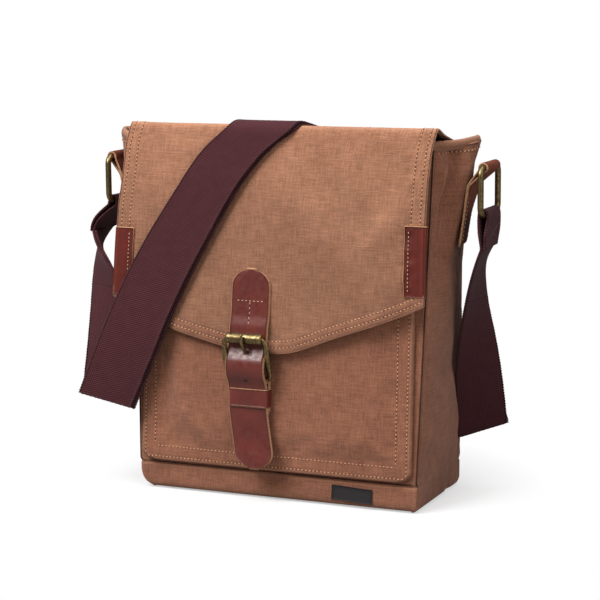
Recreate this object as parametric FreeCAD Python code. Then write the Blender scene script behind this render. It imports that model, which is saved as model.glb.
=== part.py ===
import FreeCAD, Part
import math
import os

# Canvas messenger bag with a buckled flap and an adjustable webbing shoulder strap.
# Millimetres. Origin: centre of the underside of the base. +Z up, the front faces -Y, +X is
# the right-hand side seen from the front.

V = FreeCAD.Vector
OUT_DIR = "parts"

# Bag body: a tapered box, deep at the base and narrow at the mouth.
BODY_HEIGHT = 268.0
BASE_HALF_WIDTH = 112.0
MOUTH_HALF_WIDTH = 120.0
BASE_HALF_DEPTH = 50.0
MOUTH_HALF_DEPTH = 33.0
GUSSET_BELLY = 8.0
EAR_FLARE = 21.0
EAR_SHARPNESS = 1.4
BASE_FADE = 60.0
CANVAS = 2.0
GAP = 0.3

BASE_STRIP_HEIGHT = 20.0
MOUTH_DROP = 8.0
BINDING_HEIGHT = 5.4
BINDING_WIDTH = 4.4
PANEL_TOP = BODY_HEIGHT - BINDING_HEIGHT - GAP
BOARD_THICKNESS = 2.0
LINING_INSET = 2.6
LINING_THICKNESS = 0.9
LINING_FLOOR = 4.8

# Patch pocket on the front.
POCKET_HALF_WIDTH = 109.0
POCKET_BOTTOM = 22.0
POCKET_TOP = 168.0
POCKET_STANDOFF = 8.2
POCKET_WALL = 1.8
POCKET_CORNER = 9.0

# Flap: a crown over the mouth and a front that hangs down to a shallow point.
FLAP_HALF_WIDTH = 122.5
FLAP_CANVAS = 1.6
FLAP_LINING = 0.8
CROWN_BACK = (31.5, 263.8)
CROWN_FRONT = (-37.0, 279.0)
FRONT_TOP = (-39.6, 275.4)
FRONT_TIP = (-57.3, 113.0)
FLAP_CORNER_RISE = {-1: 33.0, 1: 42.0}
EDGE_WELT_WIDTH = 9.0
EDGE_WELT_THICKNESS = 1.2
TAB_ABOVE_CORNER = 3.0
TAB_LENGTH = 50.0
TAB_WIDTH = 14.5
TAB_LEATHER = 1.4
TAB_BACK_TRIM = 1.8

# Closure: leather strap on the flap, roller buckle on the pocket.
CLOSURE_X = -15.5
CLOSURE_WIDTH = 29.0
CLOSURE_THICKNESS = 2.6
CLOSURE_PATH = [(-52.4, 173.0), (-56.0, 139.0), (-58.4, 131.5), (-59.2, 122.0), (-59.9, 117.0),
                (-62.0, 112.0), (-65.2, 107.0), (-66.3, 101.0), (-65.0, 95.5), (-61.6, 90.0),
                (-60.1, 84.5), (-60.1, 70.0), (-60.5, 57.0), (-62.5, 40.0), (-65.5, 27.0)]
SPARE_HOLE_RISE = 93.0
HOLE_RADIUS = 2.2
BUCKLE_WIRE = 1.9
HEEL_BAR_RADIUS = 1.8
ROLLER_BAR_RADIUS = 1.6
ROLLER_RADIUS = 4.0
ROLLER_LENGTH = 28.6
BUCKLE_HALF_SPAN = 16.9
HEEL_RISE = 91.0
HEEL_OUT = 12.0
ROLLER_RISE = 122.3
ROLLER_OUT = 22.7
RUNNING_CLEARANCE = 0.05
TONGUE_RADIUS = 1.3
TONGUE_EYE_RADIUS = 3.3
TONGUE_EYE_WIDTH = 3.6
TONGUE_PATH = [(-57.5, 94.0), (-60.2, 105.0), (-62.5, 112.0), (-70.6, 121.5), (-70.9, 127.5)]
CHAPE_LEATHER = 1.8
CHAPE_LOOP_RADIUS = 3.4
CHAPE_BOTTOM = 58.0
CHAPE_SLOT = 5.4
KEEPER_BOTTOM = 71.5
KEEPER_TOP = 83.6
KEEPER_LEATHER = 1.5

# Ring tabs, strap rings and webbing.
RING_X = 150.0
RING_Y = 0.0
RING_Z = 249.0
RING_WIRE = 2.2
RING_WIDTH = 44.4
RING_HEIGHT = 38.0
RING_CORNER = 5.8
RING_TAB_WIDTH = 28.0
RING_TAB_LEATHER = 1.6
RING_TAB_BOTTOM = 192.0
WEB_WIDTH = 38.0
WEB_THICKNESS = 1.8
DOUBLE_WEB = 3.8
LOOP_LENGTH = 24.0

# Slider on the part of the strap that runs down the back.
SLIDER_RISE = 150.0
SLIDER_HALF_SPAN = 21.6
SLIDER_HALF_HEIGHT = 10.5
SLIDER_BAR = 1.1
RUN_OUT_LOW = 3.2
RUN_OUT_HIGH = 5.0


def blend_value(low, high, height):
    """Value at a height between the base value and the mouth value."""
    return low + (high - low) * height / BODY_HEIGHT


def half_width(height):
    return blend_value(BASE_HALF_WIDTH, MOUTH_HALF_WIDTH, height)


def half_depth(height):
    return blend_value(BASE_HALF_DEPTH, MOUTH_HALF_DEPTH, height)


def gusset_bow(height, across):
    """How far the gusset stands out at a height; across runs from -1 in front to 1 behind.

    The middle of the gusset is pushed outwards into an ear where the mouth is drawn narrow."""
    ridge = GUSSET_BELLY + EAR_FLARE * (height / BODY_HEIGHT) ** 4
    fade = min(1.0, height / BASE_FADE)
    return ridge * fade * (1 - abs(across) ** EAR_SHARPNESS)


def below_mouth(lowered_by):
    """Everything below the rim of the mouth, which is lower behind than in front."""
    reach = 300.0
    slope = MOUTH_DROP / (2 * MOUTH_HALF_DEPTH)
    middle = BODY_HEIGHT - MOUTH_DROP / 2 - lowered_by
    side = [V(-reach, -reach, -reach), V(-reach, reach, -reach),
            V(-reach, reach, middle - slope * reach), V(-reach, -reach, middle + slope * reach)]
    return Part.Face(Part.makePolygon(side + side[:1])).extrude(V(2 * reach, 0, 0))


class Sheet:
    """A flat surface parallel to X through two (y, z) points, with an outward side."""

    def __init__(self, start, end, facing=1.0):
        self.origin = V(0, start[0], start[1])
        self.up = (V(0, end[0], end[1]) - self.origin).normalize()
        self.normal = V(1, 0, 0).cross(self.up) * facing

    def point(self, x, rise, out):
        return self.origin + V(x, 0, 0) + self.up * rise + self.normal * out

    def plate(self, outline, low, high):
        corners = [self.point(x, rise, low) for x, rise in outline]
        face = Part.Face(Part.makePolygon(corners + corners[:1]))
        return face.extrude(self.normal * (high - low))


FRONT = Sheet((-BASE_HALF_DEPTH, 0), (-MOUTH_HALF_DEPTH, BODY_HEIGHT))
BACK = Sheet((BASE_HALF_DEPTH, 0), (MOUTH_HALF_DEPTH, BODY_HEIGHT), -1.0)
CROWN = Sheet(CROWN_FRONT, CROWN_BACK)
FLAP = Sheet(FRONT_TIP, FRONT_TOP)
FLAP_TOP_RISE = (V(0, *FRONT_TOP) - V(0, *FRONT_TIP)).Length
CROWN_LENGTH = (V(0, *CROWN_BACK) - V(0, *CROWN_FRONT)).Length


def round_corners(shape, direction, radius, keep=lambda point: True):
    """Fillets the edges that run along a direction and whose middle passes a test."""
    edges = []
    for edge in shape.Edges:
        if edge.Curve.TypeId != "Part::GeomLine":
            continue
        along = (edge.Vertexes[1].Point - edge.Vertexes[0].Point).normalize()
        if abs(along.dot(direction)) > 0.999 and keep(edge.CenterOfMass):
            edges.append(edge)
    return shape.makeFillet(radius, edges)


def loft(sections):
    wires = [Part.makePolygon(points + points[:1]) for points in sections]
    return Part.makeLoft(wires, True, True)


def rod(start, end, radius):
    return Part.makeCylinder(radius, (end - start).Length, start, end - start)


def round_wire(points, radius):
    """A bent round bar: cylinders between the points with a ball at each bend."""
    shape = rod(points[0], points[1], radius)
    for start, end in zip(points[1:], points[2:]):
        shape = shape.fuse([Part.makeSphere(radius, start), rod(start, end, radius)])
    shape = shape.fuse(Part.makeSphere(radius, points[-1]))
    return shape.removeSplitter()


def tube(centre, direction, length, inner, outer):
    """A tube centred on a point."""
    start = centre - direction * (length / 2)
    solid = Part.makeCylinder(outer, length, start, direction)
    return solid.cut(Part.makeCylinder(inner, length, start, direction))


def bent_strip(path, thickness, centre_x, width):
    """A strip of constant thickness that follows a path of (y, z) points."""
    near, far = [], []
    for index, point in enumerate(path):
        before = path[max(index - 1, 0)]
        after = path[min(index + 1, len(path) - 1)]
        run_y, run_z = after[0] - before[0], after[1] - before[1]
        length = math.hypot(run_y, run_z)
        side_y, side_z = run_z / length, -run_y / length
        near.append(V(0, point[0] + side_y * thickness / 2, point[1] + side_z * thickness / 2))
        far.append(V(0, point[0] - side_y * thickness / 2, point[1] - side_z * thickness / 2))
    outline = near + far[::-1]
    face = Part.Face(Part.makePolygon(outline + outline[:1]))
    face.translate(V(centre_x - width / 2, 0, 0))
    return face.extrude(V(width, 0, 0))


def webbing(stations, thickness):
    """Webbing lofted through stations of (centre, direction across, direction along)."""
    sections = []
    for centre, across, along in stations:
        side = across.cross(along).normalize() * (thickness / 2)
        half = across * (WEB_WIDTH / 2)
        sections.append([centre - half - side, centre + half - side,
                         centre + half + side, centre - half + side])
    return loft(sections)


# --- bag body -------------------------------------------------------------------------------

def body_section(height, inset):
    """Plain four-cornered section of the body, moved inwards by an inset."""
    width = half_width(height) - inset
    depth = half_depth(height) - inset
    return [V(-width, -depth, height), V(width, -depth, height),
            V(width, depth, height), V(-width, depth, height)]


def base_panel():
    """Base with a strip turned up along the front and the back."""
    low = body_section(0, 0)
    floor = Part.Face(Part.makePolygon(low + low[:1])).extrude(V(0, 0, CANVAS))
    floor = round_corners(floor, V(0, 0, 1), 8.0)
    inner = half_width(0) - CANVAS - GAP
    outline = [(-inner, 0), (inner, 0), (inner, BASE_STRIP_HEIGHT), (-inner, BASE_STRIP_HEIGHT)]
    front = FRONT.plate(outline, -CANVAS, 0)
    back = BACK.plate(outline, -CANVAS, 0)
    whole = floor.fuse([front, back]).removeSplitter()
    below = Part.makeBox(400, 400, 50, V(-200, -200, -50))
    return whole.cut(below)


def base_board():
    inset = CANVAS + 1.2
    width, depth = half_width(0) - inset, half_depth(CANVAS) - inset
    board = Part.makeBox(2 * width, 2 * depth, BOARD_THICKNESS, V(-width, -depth, CANVAS + GAP))
    return round_corners(board, V(0, 0, 1), 6.0)


def body_panel(sheet):
    """Front or back panel, between the gussets, from the base strip to the mouth binding."""
    low = half_width(BASE_STRIP_HEIGHT) - CANVAS - GAP
    high = half_width(PANEL_TOP) - CANVAS - GAP
    bottom = BASE_STRIP_HEIGHT + GAP
    outline = [(-low, bottom), (low, bottom), (high, PANEL_TOP), (-high, PANEL_TOP)]
    return sheet.plate(outline, -CANVAS, 0).common(below_mouth(BINDING_HEIGHT + GAP))


def gusset(side):
    """Side panel: flat at the base, flaring outwards at the mouth."""
    sections = []
    for height in (CANVAS + GAP, 60.0, 130.0, 190.0, 225.0, 248.0, PANEL_TOP):
        outer, inner = [], []
        for step in range(9):
            across = -1.0 + step / 4.0
            x = half_width(height) + gusset_bow(height, across)
            y = half_depth(height) * across
            outer.append(V(side * x, y, height))
            inner.append(V(side * (x - CANVAS), y, height))
        sections.append(outer + inner[::-1])
    return loft(sections).common(below_mouth(BINDING_HEIGHT + GAP))


def mouth_outline(inset, height):
    right, left = [], []
    for step in range(9):
        across = -1.0 + step / 4.0
        x = half_width(BODY_HEIGHT) + gusset_bow(BODY_HEIGHT, across) - inset
        y = (half_depth(BODY_HEIGHT) - inset) * across
        right.append(V(x, y, height))
        left.append(V(-x, -y, height))
    return right + left


def mouth_binding():
    """Rolled hem around the mouth."""
    low = BODY_HEIGHT - MOUTH_DROP - 2 * BINDING_HEIGHT
    outer = Part.Face(Part.makePolygon(mouth_outline(0, low) + mouth_outline(0, low)[:1]))
    inner_points = mouth_outline(BINDING_WIDTH, low)
    inner = Part.Face(Part.makePolygon(inner_points + inner_points[:1]))
    rise = V(0, 0, MOUTH_DROP + 4 * BINDING_HEIGHT)
    ring = outer.extrude(rise).cut(inner.extrude(rise))
    return ring.common(below_mouth(0)).cut(below_mouth(BINDING_HEIGHT))


def lining():
    """Thin inner bag, open at the top."""
    outer = loft([body_section(LINING_FLOOR, LINING_INSET), body_section(PANEL_TOP, LINING_INSET)])
    inset = LINING_INSET + LINING_THICKNESS
    floor = LINING_FLOOR + LINING_THICKNESS
    room = loft([body_section(floor, inset), body_section(PANEL_TOP + 1, inset)])
    return outer.cut(room).common(below_mouth(BINDING_HEIGHT + GAP))


def front_pocket():
    """Patch pocket standing off the front panel, open at the top."""
    half, wall = POCKET_HALF_WIDTH, POCKET_WALL
    outline = [(-half, POCKET_BOTTOM), (half, POCKET_BOTTOM),
               (half, POCKET_TOP), (-half, POCKET_TOP)]
    shell = FRONT.plate(outline, 0.2, POCKET_STANDOFF)
    is_low = lambda point: point.z < POCKET_BOTTOM + 10
    shell = round_corners(shell, FRONT.normal, POCKET_CORNER, is_low)
    hollow_outline = [(-half + wall, POCKET_BOTTOM + wall), (half - wall, POCKET_BOTTOM + wall),
                      (half - wall, POCKET_TOP + 5), (-half + wall, POCKET_TOP + 5)]
    hollow = FRONT.plate(hollow_outline, 0, POCKET_STANDOFF - wall)
    hollow = round_corners(hollow, FRONT.normal, POCKET_CORNER - wall, is_low)
    return shell.cut(hollow)


def side_label():
    """Small blank woven label under the right end of the pocket."""
    outline = [(47.0, 6.5), (80.0, 6.5), (80.0, 16.0), (47.0, 16.0)]
    return FRONT.plate(outline, 0.1, 0.7)


# --- flap -----------------------------------------------------------------------------------

def flap_edge(raise_by):
    """Lower edge of the flap from left to right, moved up the flap by a distance."""
    edge = [(-FLAP_HALF_WIDTH, FLAP_CORNER_RISE[-1]), (-76.0, 12.5), (-42.0, 4.0),
            (-12.0, 0.6), (9.0, 0.2), (30.0, 5.5), (66.0, 19.0),
            (FLAP_HALF_WIDTH, FLAP_CORNER_RISE[1])]
    return [(x, rise + raise_by) for x, rise in edge]


def flap_front_layer(low, high, edge_inset):
    top = [(FLAP_HALF_WIDTH, FLAP_TOP_RISE), (-FLAP_HALF_WIDTH, FLAP_TOP_RISE)]
    return FLAP.plate(flap_edge(edge_inset) + top, low, high)


def crown_layer(low, high, length_trim):
    end = CROWN_LENGTH - length_trim
    half = FLAP_HALF_WIDTH - 0.5
    outline = [(-half, length_trim), (half, length_trim), (half, end), (-half, end)]
    return CROWN.plate(outline, low, high)


def flap_edge_welt():
    """Raised double-stitched edge along the bottom of the flap."""
    outline = flap_edge(0) + flap_edge(EDGE_WELT_WIDTH)[::-1]
    trim = TAB_WIDTH + 1.0
    strip = FLAP.plate(outline, 0.1, EDGE_WELT_THICKNESS)
    reach = FLAP_HALF_WIDTH - trim
    window = Part.makeBox(2 * reach, 200, 400, V(-reach, -150, 0))
    return strip.common(window)


def corner_tab(side):
    """Leather tab folded round the side edge of the flap just above its corner."""
    low = FLAP_CORNER_RISE[side] + TAB_ABOVE_CORNER
    high = low + TAB_LENGTH
    outer_edge = side * (FLAP_HALF_WIDTH + GAP + TAB_LEATHER)
    inner_edge = side * (FLAP_HALF_WIDTH - TAB_WIDTH)
    back_out = -(FLAP_CANVAS + FLAP_LINING + 2 * GAP)
    outline = [(inner_edge, low), (outer_edge, low), (outer_edge, high), (inner_edge, high)]
    block = FLAP.plate(outline, back_out - TAB_LEATHER, 0.2 + TAB_LEATHER)
    slot_edge = side * (FLAP_HALF_WIDTH + GAP)
    far = inner_edge - side * 5
    slot_outline = [(far, low - 5), (slot_edge, low - 5), (slot_edge, high + 5), (far, high + 5)]
    hidden_edge = inner_edge + side * TAB_BACK_TRIM
    trim_outline = [(far, low - 5), (hidden_edge, low - 5), (hidden_edge, high + 5),
                    (far, high + 5)]
    behind = FLAP.plate(trim_outline, back_out - TAB_LEATHER - 1, back_out + 0.1)
    return block.cut([FLAP.plate(slot_outline, back_out, 0.2), behind])


# --- closure --------------------------------------------------------------------------------

def closure_strap():
    """Leather strap sewn to the flap, threaded behind the roller and through the keeper."""
    strip = bent_strip(CLOSURE_PATH, CLOSURE_THICKNESS, CLOSURE_X, CLOSURE_WIDTH)
    low, high = CLOSURE_PATH[-1][1] - 2, CLOSURE_PATH[0][1] + 2
    cutter = Part.makeBox(CLOSURE_WIDTH, 60, high - low,
                          V(CLOSURE_X - CLOSURE_WIDTH / 2, -90, low))
    cutter = round_corners(cutter, V(0, 1, 0), CLOSURE_WIDTH / 2 - 0.6)
    strip = strip.common(cutter)
    pin_path = [V(CLOSURE_X, y, z) for y, z in TONGUE_PATH[:4]]
    spare = V(CLOSURE_X, -80, SPARE_HOLE_RISE)
    holes = [round_wire(pin_path, HOLE_RADIUS), rod(spare, spare + V(0, 30, 0), HOLE_RADIUS)]
    return strip.cut(holes)


def heel_point(x_offset=0.0):
    return FRONT.point(CLOSURE_X + x_offset, HEEL_RISE, HEEL_OUT)


def roller_point(x_offset=0.0):
    return FRONT.point(CLOSURE_X + x_offset, ROLLER_RISE, ROLLER_OUT)


def buckle_frame():
    """Brass frame: heel bar, two side bars and the bar inside the roller."""
    span = BUCKLE_HALF_SPAN
    bars = [rod(heel_point(-span), heel_point(span), HEEL_BAR_RADIUS),
            rod(roller_point(-span), roller_point(span), ROLLER_BAR_RADIUS)]
    for side in (-span, span):
        bars.append(rod(heel_point(side), roller_point(side), BUCKLE_WIRE))
        bars.append(Part.makeSphere(BUCKLE_WIRE, heel_point(side)))
        bars.append(Part.makeSphere(BUCKLE_WIRE, roller_point(side)))
    return bars[0].fuse(bars[1:]).removeSplitter()


def buckle_roller():
    return tube(roller_point(), V(1, 0, 0), ROLLER_LENGTH,
                ROLLER_BAR_RADIUS + RUNNING_CLEARANCE, ROLLER_RADIUS)


def buckle_tongue():
    """Pin with an eye around the heel bar, resting on the roller."""
    hole = HEEL_BAR_RADIUS + RUNNING_CLEARANCE
    eye = tube(heel_point(), V(1, 0, 0), TONGUE_EYE_WIDTH, hole, TONGUE_EYE_RADIUS)
    pin = round_wire([V(CLOSURE_X, y, z) for y, z in TONGUE_PATH], TONGUE_RADIUS)
    bore = rod(heel_point(-20), heel_point(20), hole)
    return eye.fuse(pin).removeSplitter().cut(bore)


def buckle_chape():
    """Leather base of the buckle: two layers on the pocket, looped around the heel bar."""
    half = CLOSURE_WIDTH / 2
    low_out = HEEL_OUT - CHAPE_LOOP_RADIUS - 0.1
    high_out = low_out + 2 * CHAPE_LEATHER
    x = CLOSURE_X
    outline = [(x - half, CHAPE_BOTTOM), (x + half, CHAPE_BOTTOM),
               (x + half, HEEL_RISE), (x - half, HEEL_RISE)]
    base = FRONT.plate(outline, low_out, high_out)
    is_low = lambda point: point.z < CHAPE_BOTTOM + 5
    base = round_corners(base, FRONT.normal, half - 2, is_low)
    hole = HEEL_BAR_RADIUS + RUNNING_CLEARANCE
    loop = rod(heel_point(-half), heel_point(half), CHAPE_LOOP_RADIUS)
    shape = base.fuse(loop).cut(rod(heel_point(-half - 1), heel_point(half + 1), hole))
    slot_bottom = HEEL_RISE - 7
    slot = [(x - CHAPE_SLOT / 2, slot_bottom), (x + CHAPE_SLOT / 2, slot_bottom),
            (x + CHAPE_SLOT / 2, HEEL_RISE + 9), (x - CHAPE_SLOT / 2, HEEL_RISE + 9)]
    return shape.cut(FRONT.plate(slot, low_out - 2, high_out + 12))


def strap_keeper():
    """Leather loop below the buckle: two legs on the pocket and a bridge over the strap."""
    half = CLOSURE_WIDTH / 2 + 0.6
    foot = POCKET_STANDOFF + 0.2
    bridge = 16.8
    x = CLOSURE_X
    outer = half + KEEPER_LEATHER
    block = FRONT.plate([(x - outer, KEEPER_BOTTOM), (x + outer, KEEPER_BOTTOM),
                         (x + outer, KEEPER_TOP), (x - outer, KEEPER_TOP)],
                        foot, bridge + KEEPER_LEATHER)
    block = round_corners(block, FRONT.up, 2.5, lambda point: point.y < FRONT.origin.y - 8)
    tunnel = FRONT.plate([(x - half, KEEPER_BOTTOM - 1), (x + half, KEEPER_BOTTOM - 1),
                          (x + half, KEEPER_TOP + 1), (x - half, KEEPER_TOP + 1)],
                         foot - 1, bridge)
    return block.cut(tunnel)


# --- rings and their tabs -------------------------------------------------------------------

def strap_ring(side):
    """Rounded rectangular wire ring hanging in the Y-Z plane from its top bar."""
    wire = RING_WIRE
    half_y = RING_WIDTH / 2 - wire
    drop = RING_HEIGHT - 2 * RING_WIRE
    corner = RING_CORNER
    x, top = side * RING_X, RING_Z
    low = top - drop
    pieces = [rod(V(x, RING_Y - half_y + corner, top), V(x, RING_Y + half_y - corner, top),
                  wire),
              rod(V(x, RING_Y - half_y + corner, low), V(x, RING_Y + half_y - corner, low),
                  wire)]
    for y in (RING_Y - half_y, RING_Y + half_y):
        pieces.append(rod(V(x, y, low + corner), V(x, y, top - corner), wire))
    for sign_y in (-1, 1):
        for sign_z in (-1, 1):
            centre = V(x, RING_Y + sign_y * (half_y - corner),
                       (top + low) / 2 + sign_z * (drop / 2 - corner))
            bend = Part.makeTorus(corner, wire, centre, V(1, 0, 0))
            reach = corner + wire + 1
            window = Part.makeBox(2 * reach, reach, reach,
                                  V(x - reach, centre.y if sign_y > 0 else centre.y - reach,
                                    centre.z if sign_z > 0 else centre.z - reach))
            pieces.append(bend.common(window))
    return pieces[0].fuse(pieces[1:]).removeSplitter()


def ring_tab(side):
    """Leather strip on the gusset that loops around the top bar of the ring."""
    centre = V(side * RING_X, RING_Y, RING_Z)
    inner = RING_WIRE + RUNNING_CLEARANCE
    outer = inner + RING_TAB_LEATHER
    loop = Part.makeCylinder(outer, RING_TAB_WIDTH, centre - V(0, RING_TAB_WIDTH / 2, 0),
                             V(0, 1, 0))
    gap = 0.6

    def skin(height):
        return half_width(height) + gusset_bow(height, 0) + gap

    foot, knee = RING_TAB_BOTTOM, RING_Z - 13.0
    thick = 2 * RING_TAB_LEATHER
    path = [V(side * skin(foot), 0, foot), V(side * skin(knee), 0, knee),
            V(side * (RING_X - outer), 0, RING_Z + 0.5),
            V(side * (RING_X - outer + thick), 0, RING_Z - 2.5),
            V(side * (skin(knee) + thick), 0, knee - 2.0),
            V(side * (skin(foot) + thick), 0, foot)]
    face = Part.Face(Part.makePolygon(path + path[:1]))
    face.translate(V(0, RING_Y - RING_TAB_WIDTH / 2, 0))
    strip = face.extrude(V(0, RING_TAB_WIDTH, 0))
    bore = Part.makeCylinder(inner, RING_WIDTH, centre - V(0, RING_WIDTH / 2, 0), V(0, 1, 0))
    return loop.fuse(strip).removeSplitter().cut(bore)


# --- shoulder strap -------------------------------------------------------------------------

def ring_loop(side, layer_gap, lean):
    """Webbing gathered over the lower bar of a ring, two layers hanging down and out."""
    low = RING_Z - RING_HEIGHT + 2 * RING_WIRE
    centre = V(side * RING_X, RING_Y, low)
    inner = RING_WIRE + 0.15
    outer = inner + WEB_THICKNESS
    gathered = RING_WIDTH - 2 * RING_WIRE - 2 * RING_CORNER - 0.4
    start = centre - V(0, gathered / 2, 0)
    bend = Part.makeCylinder(outer, gathered, start, V(0, 1, 0))
    bore = Part.makeCylinder(inner, gathered, start, V(0, 1, 0))
    below = Part.makeBox(20, gathered, 20, start + V(-10, 0, -20))
    bend = bend.cut(bore).cut(below)
    legs = []
    for sign in (-1, 1):
        top_x = side * RING_X + sign * (inner + WEB_THICKNESS / 2)
        low_x = side * (RING_X + lean) + sign * (layer_gap + WEB_THICKNESS) / 2
        half = WEB_THICKNESS / 2
        y = RING_Y - WEB_WIDTH / 2
        leg = [V(top_x - half, y, low), V(top_x + half, y, low),
               V(low_x + half, y, low - LOOP_LENGTH), V(low_x - half, y, low - LOOP_LENGTH)]
        legs.append(Part.Face(Part.makePolygon(leg + leg[:1])).extrude(V(0, WEB_WIDTH, 0)))
    bar_room = Part.makeCylinder(inner, WEB_WIDTH, centre - V(0, WEB_WIDTH / 2, 0), V(0, 1, 0))
    return bend.fuse([leg.cut(bar_room) for leg in legs]).removeSplitter()


def twisted_run(side, thickness, points):
    """Webbing that hangs from a ring and turns a quarter turn on its way down.

    points holds (x, y, z, turn in degrees); no turn is edge-on to the front."""
    stations = []
    for x, y, z, turn in points:
        angle = math.radians(turn)
        across = V(side * math.sin(angle), math.cos(angle), 0)
        stations.append((V(x, y, z), across, V(0, 0, 1)))
    return webbing(stations, thickness)


LOOP_FOOT = RING_Z - RING_HEIGHT + 2 * RING_WIRE - LOOP_LENGTH
LEFT_LEAN = 14.0
# The leaning loop dips as its ring swings inwards, so the run below it starts lower.
LEFT_RUN_GAP = 3.4
LEFT_RUN = [(-RING_X - LEFT_LEAN - 1, RING_Y, LOOP_FOOT - LEFT_RUN_GAP, 14),
            (-160.5, -8.0, 176.0, 34),
            (-153.5, -20.0, 157.0, 54), (-143.5, -34.0, 133.0, 72),
            (-138.0, -46.0, 110.0, 83), (-135.5, -54.0, 93.0, 88),
            (-134.5, -58.6, 76.0, 90)]
RIGHT_RUN = [(RING_X - 1, RING_Y, LOOP_FOOT - 1.2, 0), (143.5, 2.0, 175.0, -4),
             (140.0, 8.0, 158.0, 2), (138.0, 16.0, 140.0, 12),
             (137.0, 25.0, 118.0, 28), (137.5, 33.0, 92.0, 44),
             (137.5, 37.5, 70.0, 54)]

# Edges of the run across the flap, which bends in its own plane, and corners of the run over
# the crown, as (x, rise) on the sheet they lie on.
FLAP_RUN_LEFT = [(-34.0, FLAP_TOP_RISE - 0.5), (-57.0, 145.0), (-74.0, 119.0), (-99.0, 81.5),
                 (-128.0, 25.0), (-154.0, -40.0)]
FLAP_RUN_RIGHT = [(-110.5, -50.0), (-80.0, 17.0), (-61.0, 58.0), (-27.0, 119.0),
                  (-11.0, 140.0), (5.0, 155.5), (20.0, FLAP_TOP_RISE - 0.5)]
FLAP_RUN_OUT = TAB_LEATHER + 0.5
CROWN_RUN = [(-32.0, 1.0), (20.5, 1.0), (51.0, CROWN_LENGTH + 1), (6.5, CROWN_LENGTH + 1)]
BACK_RUN_TOP_X = 29.0
BACK_RUN_TOP = 261.0
BACK_RUN_LOW_X = 127.5
BACK_RUN_LOW = 54.0


def back_run_direction():
    return V(BACK_RUN_LOW_X - BACK_RUN_TOP_X, BACK_RUN_LOW - BACK_RUN_TOP, 0).normalize()


def back_run_outline(start, end, half):
    """Corners of a band on the back sheet, start and end measured down its centre line."""
    along = back_run_direction()
    across = V(-along.y, along.x, 0)
    top = V(BACK_RUN_TOP_X, BACK_RUN_TOP, 0)
    corners = []
    for distance, sign in ((start, 1), (start, -1), (end, -1), (end, 1)):
        point = top + along * distance + across * (sign * half)
        corners.append((point.x, point.y))
    return corners


BACK_RUN_LENGTH = math.hypot(BACK_RUN_LOW_X - BACK_RUN_TOP_X, BACK_RUN_LOW - BACK_RUN_TOP)
SLIDER_AT = (BACK_RUN_TOP - SLIDER_RISE) / abs(back_run_direction().y)
SLIDER_TRAVEL = 25.0
END_LOOP_LENGTH = 22.0


def strap_back_run():
    """Running layer of the strap down the back, through the slider."""
    start = 12.0
    return BACK.plate(back_run_outline(start, BACK_RUN_LENGTH, WEB_WIDTH / 2),
                      RUN_OUT_LOW, RUN_OUT_HIGH)


def strap_back_inner():
    """Second layer under the running layer, above the slider's travel."""
    end = SLIDER_AT - END_LOOP_LENGTH - SLIDER_TRAVEL - 4
    return BACK.plate(back_run_outline(12.0, end, WEB_WIDTH / 2), 0.6, 0.6 + WEB_THICKNESS)


def on_back_run(distance, offset, out):
    """Point beside the centre line of the back run."""
    along = back_run_direction()
    across = V(-along.y, along.x, 0)
    flat = V(BACK_RUN_TOP_X, BACK_RUN_TOP, 0) + along * distance + across * offset
    return BACK.point(flat.x, flat.y, out)


CENTRE_BAR_OUT = 1.5
OUTER_BAR_OUT = 6.5


def strap_slider():
    """Three-bar slider: two bars over the running layer, one bar under it."""
    span = SLIDER_HALF_SPAN
    bars = []
    for offset in (-SLIDER_HALF_HEIGHT, SLIDER_HALF_HEIGHT):
        bars.append(rod(on_back_run(SLIDER_AT + offset, -span, OUTER_BAR_OUT),
                        on_back_run(SLIDER_AT + offset, span, OUTER_BAR_OUT), SLIDER_BAR))
    for side in (-span, span):
        corners = [on_back_run(SLIDER_AT - SLIDER_HALF_HEIGHT, side, OUTER_BAR_OUT),
                   on_back_run(SLIDER_AT, side, CENTRE_BAR_OUT + 0.4),
                   on_back_run(SLIDER_AT + SLIDER_HALF_HEIGHT, side, OUTER_BAR_OUT)]
        bars.append(round_wire(corners, SLIDER_BAR + 0.3))
        bars.append(Part.makeSphere(SLIDER_BAR + 0.3, corners[0]))
    bars.append(rod(on_back_run(SLIDER_AT, -span, CENTRE_BAR_OUT),
                    on_back_run(SLIDER_AT, span, CENTRE_BAR_OUT), 0.7))
    return bars[0].fuse(bars[1:]).removeSplitter()


def strap_end_loop():
    """Sewn end of the strap, just above the slider's centre bar."""
    end = SLIDER_AT - 1.2
    return BACK.plate(back_run_outline(end - END_LOOP_LENGTH, end, WEB_WIDTH / 2),
                      0.6, 0.6 + WEB_THICKNESS)


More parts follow.
